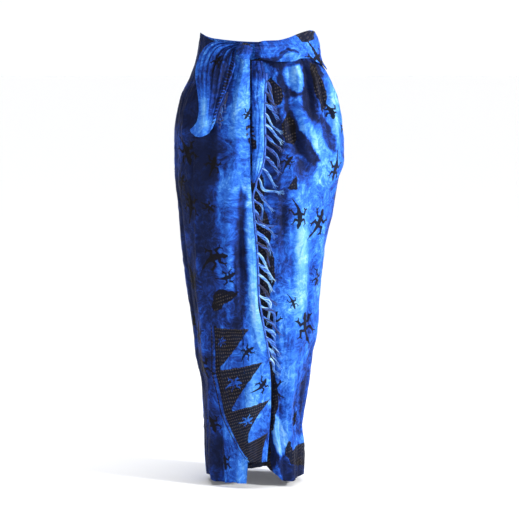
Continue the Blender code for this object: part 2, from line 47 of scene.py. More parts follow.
LAYER_DEPTH = 0.014  # how far the under layer lies inside the rings
LAYER_SHELF = 9.0  # degrees past the free edge over which it keeps that depth
LAYER_RAMP = 24.0  # degrees over which it then comes out to the rings
FOLD_FADE = 0.04  # length over which a fold fades beyond its ends
MOST_DENT = 0.007  # deepest fold of the left front panel, which lies on the under layer
BODY_ROWS = 18
ROW_SPREAD = 1.25  # over 1, so that the rows lie closer at the waist than at the hem
EDGE_REACH = 0.004  # how far past the free edge what lies on the cloth still clears it
PILE_CLEAR = 0.0028  # from a cloth's outer face to the outer face of what lies on it
BAND_CLEAR = 0.006  # the same under the waist band, which lies on gathers
BAND_END_CLEAR = 0.0048  # and where the band ends on the smooth side
BAND_SPAN = 4.0  # degrees of folds that the band spans to each side
TAIL_SPAN = 0.008  # distance over which the left tail spans them

# The body of the garment as level rings: half widths to each side, and depths to the front and the back
Ring = namedtuple("Ring", "drop left right front back")
RINGS = (
    Ring(-0.030, 0.132, 0.116, 0.084, 0.096),
    Ring(0.000, 0.136, 0.128, 0.086, 0.100),
    Ring(0.035, 0.142, 0.133, 0.090, 0.106),
    Ring(0.076, 0.156, 0.156, 0.096, 0.116),
    Ring(0.131, 0.181, 0.178, 0.104, 0.128),
    Ring(0.214, 0.193, 0.191, 0.110, 0.138),
    Ring(0.269, 0.193, 0.192, 0.113, 0.136),
    Ring(0.310, 0.192, 0.179, 0.115, 0.131),
    Ring(0.380, 0.184, 0.168, 0.116, 0.124),
    Ring(0.450, 0.179, 0.152, 0.116, 0.117),
    Ring(0.545, 0.168, 0.140, 0.114, 0.111),
    Ring(0.655, 0.152, 0.131, 0.111, 0.106),
    Ring(0.711, 0.147, 0.118, 0.109, 0.104),
    Ring(0.780, 0.132, 0.109, 0.106, 0.103),
    Ring(0.876, 0.127, 0.095, 0.103, 0.104),
    Ring(0.931, 0.126, 0.099, 0.102, 0.106),
    Ring(1.020, 0.116, 0.095, 0.100, 0.108),
)

# The waist's edge and the hem, as heights above the waist's level and above LENGTH round the body
Edge = namedtuple("Edge", "angle height")
WAIST_EDGE = (
    Edge(-90, 0.019),
    Edge(-60, 0.008),
    Edge(-40, -0.004),
    Edge(15, -0.006),
    Edge(32, 0.001),
    Edge(48, 0.012),
    Edge(66, 0.021),
    Edge(90, 0.018),
    Edge(130, 0.006),
    Edge(180, 0.000),
    Edge(230, 0.008),
    Edge(270, 0.021),
    Edge(292, 0.014),
    Edge(316, 0.000),
    Edge(334, -0.003),
    Edge(346, -0.008),
    Edge(380, -0.008),
)
HEM_EDGE = (
    Edge(-90, 0.030),
    Edge(-20, 0.030),
    Edge(10, 0.036),
    Edge(22, 0.022),
    Edge(38, 0.001),
    Edge(60, 0.000),
    Edge(90, 0.004),
    Edge(180, 0.000),
    Edge(240, -0.004),
    Edge(285, 0.006),
    Edge(312, -0.004),
    Edge(338, 0.000),
    Edge(346.5, 0.000),
    Edge(348, 0.050),
    Edge(380, 0.046),
)

# The free, fringed edge of the left front panel: its place across the front at each drop
FreeEdge = namedtuple("FreeEdge", "drop across")
FREE_EDGE = (
    FreeEdge(-0.030, -0.021),
    FreeEdge(0.280, -0.021),
    FreeEdge(0.340, -0.018),
    FreeEdge(0.395, -0.014),
    FreeEdge(0.476, -0.007),
    FreeEdge(0.585, -0.003),
    FreeEdge(0.635, 0.007),
    FreeEdge(0.690, 0.017),
    FreeEdge(0.760, 0.027),
    FreeEdge(0.820, 0.030),
    FreeEdge(0.880, 0.027),
    FreeEdge(0.930, 0.021),
    FreeEdge(1.020, 0.016),
)

# Folds are ridges, or troughs where the rise is negative, that run through three places, each a drop and an
# angle. Widths are half widths in degrees, the shares say how much of the rise is left at the fold's ends,
# and lean makes one flank steeper.
Fold = namedtuple(
    "Fold",
    "top top_at middle middle_at bottom bottom_at top_width bottom_width rise top_share bottom_share lean",
)
LEFT_FOLDS = (
    Fold(-0.03, 347, 0.15, 346, 0.36, 343, 7, 10, 0.015, 0.5, 0.2, 0.2),
    Fold(0.26, 341, 0.40, 338, 0.62, 339, 8, 6, 0.010, 0.4, 0.0, 0.2),
    Fold(0.34, 347, 0.48, 348, 0.66, 349, 4, 4, -0.008, 0.2, 0.0, 0.0),
    Fold(0.30, 353, 0.52, 354, 0.74, 364, 4, 7, 0.008, 0.2, 0.3, 0.0),
    Fold(0.12, 326, 0.22, 324, 0.36, 322, 7, 9, -0.008, 0.1, 0.0, 0.0),
    Fold(0.10, 299, 0.17, 298, 0.26, 297, 4, 5, 0.007, 0.1, 0.0, 0.0),
    Fold(0.20, 283, 0.50, 286, 0.90, 285, 6, 6, -0.006, 0.1, 0.2, 0.0),
    Fold(0.40, 308, 0.60, 305, 1.05, 301, 8, 11, 0.007, 0.1, 1.0, 0.0),
    Fold(0.52, 323, 0.72, 318, 1.05, 313, 6, 8, -0.007, 0.1, 1.0, 0.0),
    Fold(0.66, 350, 0.80, 352, 1.05, 338, 12, 14, 0.010, 0.1, 0.7, 0.0),
)
RIGHT_FOLDS = (
    Fold(0.03, 33, 0.08, 31, 0.128, 28, 8, 7, 0.020, 0.4, 0.2, 0.3),
    Fold(0.10, 28, 0.18, 33, 0.31, 48, 5, 10, 0.014, 0.2, 0.0, 0.0),
    Fold(0.12, 21, 0.21, 25, 0.33, 38, 5, 8, -0.018, 0.1, 0.0, 0.0),
    Fold(0.04, 46, 0.11, 41, 0.21, 40, 5, 5, -0.014, 0.4, 0.0, 0.0),
    Fold(0.04, 53, 0.11, 48, 0.20, 47, 4, 4, 0.008, 0.3, 0.0, 0.0),
    Fold(0.05, 60, 0.13, 55, 0.26, 58, 4, 6, -0.011, 0.3, 0.0, 0.2),
    Fold(0.05, 69, 0.15, 64, 0.30, 69, 5, 8, 0.009, 0.2, 0.0, 0.0),
    Fold(0.06, 82, 0.15, 78, 0.24, 84, 5, 5, -0.005, 0.1, 0.0, 0.0),
    Fold(0.30, 31, 0.47, 38, 0.68, 44, 9, 12, 0.010, 0.1, 0.0, 0.0),
    Fold(0.30, 17, 0.40, 20, 0.52, 24, 4, 6, -0.009, 0.1, 0.0, 0.0),
    Fold(0.36, 66, 0.47, 64, 0.60, 62, 6, 7, 0.007, 0.1, 0.0, 0.0),
    Fold(0.42, 54, 0.60, 57, 0.78, 60, 6, 7, -0.007, 0.1, 0.0, 0.0),
    Fold(0.66, 36, 0.82, 42, 1.05, 48, 8, 12, 0.010, 0.1, 0.8, -0.2),
    Fold(0.83, 23, 0.91, 27, 0.97, 30, 3, 6, 0.009, 0.3, 0.1, 0.0),
    Fold(0.70, 62, 0.85, 66, 1.05, 72, 6, 8, -0.007, 0.1, 1.0, 0.0),
    Fold(0.50, 78, 0.75, 82, 1.05, 86, 7, 8, 0.005, 0.1, 1.0, 0.0),
)
BACK_FOLDS = (
    Fold(0.04, 116, 0.30, 122, 1.05, 121, 8, 10, 0.008, 0.1, 1.0, 0.2),
    Fold(0.12, 132, 0.55, 138, 1.05, 137, 7, 9, -0.009, 0.1, 1.0, 0.0),
    Fold(0.30, 152, 0.60, 155, 1.05, 157, 7, 10, 0.010, 0.1, 1.0, -0.2),
    Fold(0.22, 172, 0.60, 171, 1.05, 176, 7, 9, -0.009, 0.1, 0.9, 0.0),
    Fold(0.34, 190, 0.66, 192, 1.05, 195, 8, 10, 0.011, 0.1, 1.0, 0.2),
    Fold(0.26, 210, 0.60, 212, 1.05, 216, 7, 9, -0.009, 0.1, 1.0, 0.0),
    Fold(0.10, 226, 0.40, 231, 1.05, 236, 8, 9, 0.008, 0.1, 1.0, -0.2),
    Fold(0.06, 250, 0.30, 248, 0.95, 254, 7, 8, -0.006, 0.1, 0.4, 0.0),
    Fold(-0.03, 150, 0.10, 160, 0.26, 182, 7, 6, 0.006, 0.4, 0.0, 0.3),
    Fold(-0.03, 206, 0.10, 200, 0.24, 186, 7, 6, 0.005, 0.4, 0.0, -0.3),
)
# The recess that opens towards the hem between the two front panels dents both layers alike
RECESS = Fold(0.60, 14, 0.84, 18, 1.06, 8, 5, 18, -0.014, 0.1, 1.4, 0.0)

# The leaf-shaped tie end over the left hip: places of its two edges, and how far it stands out between them
Leaf = namedtuple("Leaf", "share left left_height right right_height puff")
LEFT_TAIL = (
    Leaf(-0.10, -0.040, 0.000, -0.038, -0.012, 0.002),
    Leaf(0.00, -0.056, 0.000, -0.052, -0.016, 0.004),
    Leaf(0.08, -0.090, 0.001, -0.052, -0.029, 0.008),
    Leaf(0.20, -0.114, -0.009, -0.051, -0.047, 0.011),
    Leaf(0.34, -0.130, -0.038, -0.057, -0.071, 0.013),
    Leaf(0.50, -0.136, -0.078, -0.067, -0.098, 0.014),
    Leaf(0.66, -0.134, -0.116, -0.079, -0.126, 0.014),
    Leaf(0.80, -0.132, -0.150, -0.090, -0.153, 0.013),
    Leaf(0.90, -0.136, -0.176, -0.096, -0.175, 0.012),
    Leaf(1.00, -0.153, -0.197, -0.103, -0.192, 0.008),
)
TAIL_BULGE = 0.017  # how far the middle of its lower edge hangs below the corners
TAIL_GATHERS = 3  # ridges that run out from the knot
TAIL_GATHER_RISE = 0.003
TAIL_GATHER_END = 0.7  # share of the leaf's length at which they fade out
TAIL_ARCH = (0.12, 0.92)  # shares of a half wave that its puff follows from edge to edge

# The gathered corner drawn across the right front: heights of its two edges, and how far it stands out
Band = namedtuple("Band", "angle top bottom puff")
Span = namedtuple("Span", "start end")
WAIST_BAND = (
    Band(-4, -0.002, -0.032, 0.014),
    Band(5, 0.002, -0.040, 0.017),
    Band(17, 0.003, -0.044, 0.015),
    Band(29, 0.009, -0.043, 0.013),
    Band(41, 0.017, -0.036, 0.012),
    Band(53, 0.023, -0.036, 0.010),
    Band(66, 0.026, -0.047, 0.008),
    Band(80, 0.024, -0.058, 0.006),
    Band(92, 0.020, -0.062, 0.004),
    Band(102, 0.015, -0.050, 0.002),
)
BAND_ROLLS = 2  # lengthwise rolls of the gathered cloth
BAND_ROLL_RISE = 0.003
FULL_PUFF = 0.010  # where the band stands out this far, its rolls have their full rise
LEAST_ARCH = 0.3  # share of its arch that stays where it spans higher folds
BAND_ROLL_TURN = 0.8  # of a roll, by which they wind round from the knot to the band's end
BAND_ARCH = (0.08, 0.94)  # shares of a half wave that its puff follows from edge to edge
BAND_SMOOTH = Span(84, 96)  # angles over which the cloth under the band turns smooth

# The narrow tie end beside the free edge: its two edges and how far it stands out between them
Strip = namedtuple("Strip", "drop left right puff")
CENTRE_TAIL = (
    Strip(0.042, -0.0170, 0.0060, 0.003),
    Strip(0.075, -0.0175, 0.0125, 0.006),
    Strip(0.120, -0.0170, 0.0095, 0.008),
    Strip(0.160, -0.0175, 0.0090, 0.007),
    Strip(0.215, -0.0170, 0.0100, 0.008),
    Strip(0.255, -0.0165, 0.0085, 0.006),
    Strip(0.285, -0.0165, 0.0010, 0.004),
    Strip(0.312, -0.0165, -0.0110, 0.002),
)
CENTRE_TAIL_ROUNDNESS = 0.8  # under 1, so that it is fuller than a half wave
CENTRE_TAIL_TUCK = 0.003  # how far its left edge lies deeper than its right

KNOT_ANGLE = 347.4
KNOT_DROP = 0.018
KNOT_HALF = (0.019, 0.011, 0.022)  # across, outwards and upwards
KNOT_LIFT = 0.0122
KNOT_TILT = math.radians(28)  # of the gathers that wrap it
KNOT_GATHERS = 4
KNOT_GROOVE = 0.14
KNOT_TOP = 0.80  # by which the looks flatten its upper half

# Fringe: a strip along an edge, and tassels that start from every second stretch of it
STRIP_SHIFT = Span(0.010, 0.030)  # below the centre tail's end, where the strip moves to the free edge
STRIP_GAP = 0.0010  # between an edge, which curves, and its strip
STRIP_WIDTH = 0.004
STRIP_THICKNESS = 0.002
TASSEL_LIFT = 0.006  # from the cloth under a tassel to its middle
TASSEL_WAVE = 0.0016
TASSEL_ROOT_STEPS = 0.3  # share of its length over which it may lie deeper, by
TASSEL_ROOT_DIP = 0.004
TASSEL_LIFTED_AT = 0.8  # share of its length by which it has left the strip's level
TASSEL_LENGTHS = Span(0.85, 1.12)  # shares of the usual length, drawn by chance
TASSEL_LEANS = Span(0.85, 1.15)
FRONT_TASSELS = 27
FRONT_TASSEL_LENGTH = 0.056
FRONT_TASSEL_WIDTH = 0.0075
FRONT_LEAN = 0.68  # sideways share of a tassel's fall
FRONT_FRINGE_TOP = 0.070
FRONT_FRINGE_BOTTOM = 0.715
TAIL_TASSELS = 7
TAIL_TASSEL_LENGTH = 0.024
TAIL_TASSEL_WIDTH = 0.0045
TAIL_LEAN = 0.45
TAIL_FRINGE_FROM = 0.58  # shares of the leaf's length between which its edge is fringed
TAIL_FRINGE_TO = 0.92
TASSEL_SEED = 7

# Finer creases than the solids have, by the same columns
FINE_LEFT = (
    Fold(0.01, 350, 0.10, 345, 0.22, 342, 1.6, 2.0, 0.0022, 0.6, 0.0, 0.3),
    Fold(0.00, 345, 0.08, 341, 0.17, 339, 1.4, 1.6, -0.0020, 0.6, 0.0, 0.0),
    Fold(0.02, 352, 0.14, 351, 0.24, 350, 1.1, 1.5, 0.0022, 0.4, 0.2, 0.0),
    Fold(0.20, 352, 0.23, 345, 0.235, 337, 1.8, 2.4, -0.0022, 0.3, 0.1, 0.0),
    Fold(0.22, 337, 0.30, 333, 0.42, 331, 2.4, 2.8, 0.0026, 0.2, 0.0, 0.3),
    Fold(0.36, 354.5, 0.50, 356, 0.64, 357, 1.4, 1.6, 0.0022, 0.2, 0.2, 0.3),
    Fold(0.42, 344, 0.54, 343, 0.66, 345, 1.6, 1.6, 0.0020, 0.2, 0.0, 0.0),
    Fold(0.46, 333, 0.60, 330, 0.78, 329, 2.2, 2.8, -0.0024, 0.2, 0.0, 0.2),
    Fold(0.64, 358, 0.74, 350, 0.84, 338, 2.2, 3.0, -0.0018, 0.2, 0.1, 0.0),
    Fold(0.70, 345, 0.86, 341, 1.02, 335, 2.6, 3.6, 0.0030, 0.2, 0.9, 0.2),
    Fold(0.78, 328, 0.90, 325, 1.02, 322, 2.4, 3.2, -0.0028, 0.1, 1.0, 0.0),
    Fold(0.30, 312, 0.46, 308, 0.62, 309, 2.6, 3.0, 0.0028, 0.1, 0.0, 0.2),
    Fold(0.16, 313, 0.26, 309, 0.40, 305, 2.4, 2.8, -0.0026, 0.1, 0.0, 0.0),
    Fold(0.06, 306, 0.15, 303, 0.27, 304, 1.8, 2.4, 0.0026, 0.2, 0.0, 0.3),
    Fold(0.04, 293, 0.12, 290, 0.22, 289, 2.0, 2.4, -0.0024, 0.2, 0.0, 0.0),
    Fold(0.72, 297, 0.88, 294, 1.02, 291, 2.6, 3.4, 0.0034, 0.1, 1.0, -0.2),
    Fold(0.56, 290, 0.74, 287, 0.94, 286, 2.4, 3.0, 0.0024, 0.1, 0.2, 0.0),
)
FINE_RIGHT = (
    Fold(0.06, 23, 0.10, 22, 0.16, 24, 1.6, 1.8, 0.0026, 0.3, 0.0, 0.2),
    Fold(0.05, 31, 0.09, 29, 0.125, 26, 1.5, 1.5, -0.0030, 0.6, 0.0, 0.0),
    Fold(0.05, 36.5, 0.09, 34, 0.12, 31, 1.3, 1.4, 0.0022, 0.6, 0.0, 0.0),
    Fold(0.11, 34, 0.20, 39, 0.30, 44, 1.8, 2.6, 0.0030, 0.1, 0.0, 0.2),
    Fold(0.13, 30, 0.20, 33.5, 0.29, 41, 1.4, 2.0, -0.0028, 0.1, 0.0, 0.0),
    Fold(0.05, 43, 0.13, 38, 0.22, 37, 1.5, 1.8, 0.0024, 0.4, 0.0, 0.0),
    Fold(0.05, 50, 0.12, 45.5, 0.22, 46, 1.4, 1.8, -0.0026, 0.5, 0.0, 0.0),
    Fold(0.05, 57, 0.12, 52, 0.23, 53, 1.4, 1.8, 0.0026, 0.5, 0.0, 0.2),
    Fold(0.06, 65, 0.14, 60, 0.28, 64, 1.6, 2.2, -0.0030, 0.5, 0.0, 0.0),
    Fold(0.07, 74, 0.15, 70, 0.28, 74, 1.7, 2.4, 0.0028, 0.4, 0.0, 0.2),
    Fold(0.10, 88, 0.18, 86, 0.30, 90, 2.0, 2.6, -0.0024, 0.2, 0.0, 0.0),
    Fold(0.34, 27, 0.50, 30, 0.66, 34, 2.0, 2.8, -0.0026, 0.1, 0.0, 0.0),
    Fold(0.40, 44, 0.52, 47, 0.70, 50, 2.4, 3.2, 0.0026, 0.1, 0.0, -0.2),
    Fold(0.34, 62, 0.44, 59, 0.50, 52, 1.8, 2.4, 0.0026, 0.1, 0.0, 0.0),
    Fold(0.38, 52, 0.44, 45, 0.48, 38, 1.6, 2.2, -0.0020, 0.1, 0.0, 0.0),
    Fold(0.58, 24, 0.66, 28, 0.76, 31, 1.6, 2.0, 0.0022, 0.1, 0.0, 0.0),
    Fold(0.66, 50, 0.80, 53, 0.94, 57, 2.2, 3.0, -0.0028, 0.1, 0.4, 0.0),
    Fold(0.76, 30, 0.86, 33, 0.98, 36, 1.6, 2.4, -0.0032, 0.1, 0.4, 0.0),
    Fold(0.78, 36, 0.88, 39, 1.00, 43, 1.6, 2.4, 0.0028, 0.1, 0.7, 0.2),
    Fold(0.84, 47, 0.93, 50, 1.02, 54, 2.0, 3.0, 0.0034, 0.1, 1.0, 0.0),
    Fold(0.88, 60, 0.95, 62, 1.02, 65, 2.2, 3.0, -0.0034, 0.1, 1.0, 0.0),
    Fold(0.60, 74, 0.78, 77, 1.02, 80, 2.6, 3.4, 0.0030, 0.1, 0.9, 0.2),
)
FINE_BACK = (
    Fold(0.02, 104, 0.14, 108, 0.34, 109, 2.4, 3.4, -0.0028, 0.4, 0.0, 0.0),
    Fold(0.02, 126, 0.18, 129, 0.40, 130, 2.4, 3.4, 0.0026, 0.4, 0.0, 0.2),
    Fold(0.44, 112, 0.70, 113, 1.02, 111, 2.8, 4.0, -0.0032, 0.1, 1.0, 0.0),
    Fold(0.52, 129, 0.78, 129, 1.02, 128, 2.8, 3.8, 0.0030, 0.1, 1.0, 0.2),
    Fold(0.36, 146, 0.64, 146, 0.90, 147, 2.8, 3.6, -0.0026, 0.1, 0.2, 0.0),
    Fold(0.60, 164, 0.82, 165, 1.02, 167, 2.8, 4.0, -0.0034, 0.1, 1.0, 0.0),
    Fold(0.02, 170, 0.12, 176, 0.22, 184, 2.6, 3.0, 0.0026, 0.5, 0.0, 0.3),
    Fold(0.04, 196, 0.13, 190, 0.20, 182, 2.6, 3.0, -0.0022, 0.5, 0.0, 0.0),
    Fold(0.46, 180, 0.70, 182, 1.02, 184, 2.8, 3.8, 0.0030, 0.1, 1.0, -0.2),
    Fold(0.40, 202, 0.62, 202, 0.92, 205, 2.8, 3.8, -0.0028, 0.1, 0.2, 0.0),
    Fold(0.60, 222, 0.80, 224, 1.02, 226, 2.8, 4.0, 0.0032, 0.1, 1.0, 0.0),
    Fold(0.10, 240, 0.30, 239, 0.56, 242, 2.6, 3.4, -0.0026, 0.2, 0.0, 0.2),
    Fold(0.62, 244, 0.80, 246, 1.02, 248, 2.8, 3.8, -0.0030, 0.1, 1.0, 0.0),
    Fold(0.50, 260, 0.74, 262, 1.02, 263, 2.8, 3.8, 0.0028, 0.1, 1.0, 0.2),
)

# Geckos of the print: place across the front or round the body, drop of the middle, heading clockwise from
# straight up, length, girth and how much the body bends
Gecko = namedtuple("Gecko", "place drop heading length girth bend")
LEFT_GECKOS = (
    Gecko(-0.170, 0.244, 150, 0.074, 1.2, 0.4),
    Gecko(-0.108, 0.283, 20, 0.046, 1.7, 0.0),
    Gecko(-0.159, 0.380, 5, 0.074, 1.05, -0.3),
    Gecko(-0.108, 0.497, 62, 0.078, 1.2, 0.5),
    Gecko(-0.078, 0.536, 75, 0.051, 1.15, -0.4),
    Gecko(-0.156, 0.538, 170, 0.060, 1.15, 0.4),
    Gecko(-0.140, 0.665, 185, 0.069, 1.05, 0.2),
    Gecko(-0.129, 0.734, 170, 0.078, 1.05, -0.3),
    Gecko(-0.108, 0.874, 155, 0.055, 1.05, 0.3),
    Gecko(-0.081, 0.959, 175, 0.055, 0.95, 0.0),
    Gecko(-0.025, 0.159, 200, 0.032, 1.2, 0.2),
    Gecko(-0.030, 0.711, 40, 0.044, 1.15, 0.4),
    Gecko(0.002, 0.787, 45, 0.044, 1.15, -0.4),
    Gecko(-0.120, 0.373, 120, 0.041, 1.15, 0.3),
    Gecko(-0.179, 0.327, 20, 0.051, 1.15, 0.3),
)
RIGHT_GECKOS = (
    Gecko(0.064, 0.276, 30, 0.041, 1.15, 0.3),
    Gecko(0.159, 0.152, 160, 0.046, 1.05, 0.4),
    Gecko(0.177, 0.283, 175, 0.069, 1.05, -0.2),
    Gecko(0.189, 0.191, 170, 0.041, 0.95, 0.2),
    Gecko(0.087, 0.389, 165, 0.069, 0.95, 0.5),
    Gecko(0.131, 0.419, 25, 0.074, 1.15, -0.4),
    Gecko(0.133, 0.534, 190, 0.055, 1.05, 0.3),
    Gecko(0.110, 0.662, 335, 0.087, 1.15, 0.35),
    Gecko(0.037, 0.807, 350, 0.074, 1.2, 0.6),
    Gecko(0.099, 0.791, 60, 0.028, 0.95, 0.0),
    Gecko(0.032, 0.649, 10, 0.069, 0.95, 0.4),
    Gecko(0.085, 0.862, 200, 0.051, 1.05, -0.3),
    Gecko(0.074, 0.591, 150, 0.041, 0.95, 0.3),
)
# These are placed by angle, over the sides and the back
BACK_GECKOS = (
    Gecko(96, 0.20, 20, 0.070, 1.0, 0.4),
    Gecko(112, 0.36, 160, 0.075, 0.9, -0.3),
    Gecko(93, 0.52, 340, 0.070, 1.0, 0.3),
    Gecko(118, 0.66, 40, 0.075, 1.0, -0.4),
    Gecko(98, 0.82, 190, 0.070, 0.9, 0.3),
    Gecko(132, 0.12, 200, 0.065, 1.0, 0.3),
    Gecko(140, 0.50, 330, 0.075, 1.0, 0.4),
    Gecko(136, 0.84, 150, 0.075, 0.9, -0.4),
    Gecko(160, 0.26, 30, 0.075, 1.0, -0.3),
    Gecko(165, 0.64, 170, 0.070, 1.0, 0.4),
    Gecko(168, 0.92, 20, 0.070, 0.9, 0.3),
    Gecko(180, 0.10, 300, 0.060, 1.0, 0.3),
    Gecko(186, 0.44, 200, 0.075, 1.0, -0.4),
    Gecko(194, 0.78, 340, 0.075, 1.0, 0.3),
    Gecko(208, 0.22, 160, 0.070, 1.0, 0.3),
    Gecko(214, 0.58, 25, 0.075, 0.9, -0.3),
    Gecko(222, 0.92, 190, 0.070, 1.0, 0.4),
    Gecko(234, 0.36, 330, 0.075, 1.0, 0.3),
    Gecko(240, 0.72, 150, 0.070, 0.9, -0.3),
    Gecko(250, 0.14, 30, 0.065, 1.0, 0.4),
    Gecko(258, 0.52, 185, 0.075, 1.0, 0.3),
    Gecko(262, 0.88, 20, 0.070, 1.0, -0.3),
    Gecko(282, 0.64, 20, 0.060, 0.9, 0.3),
)
BAND_GECKOS = (Gecko(66, 0.032, 148, 0.084, 1.1, 0.15),)
TAIL_GECKOS = (Gecko(-38, 0.048, 20, 0.040, 1.1, 0.3),)
# Blue ones inside the border's triangles
BLUE_GECKOS = (
    Gecko(-0.090, 0.688, 60, 0.030, 1.1, 0.3),
    Gecko(-0.062, 0.785, 68, 0.046, 1.1, 0.4),
    Gecko(-0.031, 0.868, 66, 0.036, 1.0, -0.3),
)

# The border's row of triangles, which swings down the left front panel: places of the row's base line and of
# the line through the triangles' tips, at the top of each triangle
Row = namedtuple("Row", "base_across base_drop tip_across tip_drop")
BORDER = (
    Row(-0.112, 0.565, -0.044, 0.560),
    Row(-0.099, 0.654, -0.025, 0.654),
    Row(-0.091, 0.754, 0.009, 0.730),
    Row(-0.063, 0.848, 0.025, 0.818),
    Row(-0.028, 0.920, 0.020, 0.897),
    Row(0.008, 0.975, 0.034, 0.962),
)

# Dark dotted patches, which belong to the border at the cloth's other end: outlines by place across and drop
UNDER_PATCHES = (
    # Beside the free edge
    (
        (-0.023, 0.039), (0.007, 0.039), (0.006, 0.081), (0.003, 0.120), (0.012, 0.172), (0.010, 0.223),
        (0.007, 0.262), (0.004, 0.290), (0.010, 0.330), (0.009, 0.375), (0.021, 0.395), (0.024, 0.440),
        (0.033, 0.480), (0.039, 0.536), (0.028, 0.564), (0.018, 0.591), (0.030, 0.619), (0.025, 0.660),
        (0.033, 0.695), (0.036, 0.757), (0.041, 0.821), (0.035, 0.879), (0.025, 0.913), (0.007, 0.913),
        (-0.009, 0.695),
    ),
    # Under the upper tassels
    (
        (0.024, 0.074), (0.035, 0.085), (0.048, 0.105), (0.054, 0.128), (0.046, 0.143), (0.032, 0.147),
        (0.020, 0.138), (0.017, 0.115), (0.018, 0.090),
    ),
    # Below them
    (
        (0.048, 0.186), (0.060, 0.175), (0.071, 0.161), (0.083, 0.189), (0.081, 0.235), (0.060, 0.230),
        (0.051, 0.207),
    ),
    # Corner beside the pocket
    (
        (0.087, 0.304), (0.057, 0.334), (0.085, 0.336),
    ),
    # On the dark pleat
    (
        (0.115, 0.044), (0.131, 0.057), (0.149, 0.103), (0.154, 0.131), (0.143, 0.159), (0.131, 0.131),
        (0.124, 0.097), (0.115, 0.067),
    ),
    # Behind the front panel's corner
    (
        (-0.044, 0.913), (0.000, 0.922), (0.021, 0.927), (0.030, 1.010), (-0.060, 1.010),
    ),
    # At the right hem
    (
        (0.057, 0.950), (0.063, 0.918), (0.070, 0.920), (0.076, 0.943), (0.083, 0.936), (0.108, 0.934),
        (0.108, 1.004), (0.098, 0.985), (0.090, 0.990), (0.083, 0.972), (0.074, 0.975), (0.067, 0.961),
    ),
)
# Bars and an arrowhead, half on the front panel's edge and half on the tie end beside it
EDGE_MOTIF = (
    ((-0.030, 0.186), (-0.010, 0.190), (-0.010, 0.195), (-0.030, 0.191)),
    ((-0.030, 0.196), (-0.009, 0.200), (-0.009, 0.205), (-0.030, 0.201)),
    ((-0.029, 0.206), (-0.008, 0.210), (-0.008, 0.215), (-0.029, 0.211)),
    ((-0.028, 0.216), (-0.007, 0.222), (-0.010, 0.238), (-0.020, 0.240)),
)
LEFT_PATCHES = EDGE_MOTIF + (
    # Thin slanting lens above the border
    (
        (-0.116, 0.612), (-0.103, 0.580), (-0.090, 0.564), (-0.042, 0.563), (-0.062, 0.585),
        (-0.086, 0.603), (-0.106, 0.621),
    ),
)
BAND_PATCHES = (
    # Oval by the waist's edge
    (
        (0.085, -0.016), (0.103, -0.028), (0.127, -0.028), (0.127, -0.005), (0.113, 0.002),
        (0.094, 0.000),
    ),
)

# Painted shade and painted highlights, as outlines added to the dye's tone: dark where troughs, creases, the
# pocket, the shaded left side and the cloth under the band and the tie end lie in shade, pale where ridges
# catch the light. Columns: the width of their soft edge, and strength as the clouds have
Shade = namedtuple("Shade", "soft strength outline")
CENTRE_SHADES = (
    # Speckled upper end
    Shade(0.01, -0.26, (
        (-0.035, 0.030), (0.021, 0.030), (0.016, 0.071), (0.007, 0.094), (-0.007, 0.085),
        (-0.030, 0.094),
    )),
    # Its bright edge
    Shade(0.003, 0.2, (
        (0.003, 0.085), (0.021, 0.085), (0.016, 0.177), (0.016, 0.246), (0.008, 0.246), (0.007, 0.154),
    )),
    # Its deep side
    Shade(0.004, -0.22, (
        (-0.025, 0.094), (-0.014, 0.094), (-0.011, 0.154), (-0.016, 0.246), (-0.025, 0.246),
    )),
)
# Painted shade in the band's crease and beside the knot, and a painted highlight on its lower roll
BAND_SHADES = (
    # Crease between its rolls
    Shade(0.003, -0.32, (
        (-0.002, 0.035), (0.025, 0.039), (0.046, 0.030), (0.067, 0.017), (0.090, 0.015),
        (0.090, 0.021), (0.069, 0.024), (0.048, 0.037), (0.025, 0.047), (-0.002, 0.041),
    )),
    # Its lower roll
    Shade(0.004, 0.14, (
        (0.057, 0.032), (0.085, 0.025), (0.117, 0.035), (0.140, 0.057), (0.163, 0.085), (0.145, 0.071),
        (0.115, 0.044), (0.087, 0.035), (0.062, 0.041),
    )),
    # Beside the knot
    Shade(0.005, -0.25, (
        (-0.021, -0.007), (-0.002, -0.002), (0.000, 0.044), (-0.021, 0.044),
    )),
)
KNOT_PAINTED_SHADOW = (
    # Painted shadow in the opening between the wraps, drawn as a dark print patch
    (
        (-0.041, -0.016), (-0.007, -0.016), (-0.007, 0.009), (-0.018, 0.016), (-0.025, 0.005),
        (-0.041, 0.009),
    ),
)
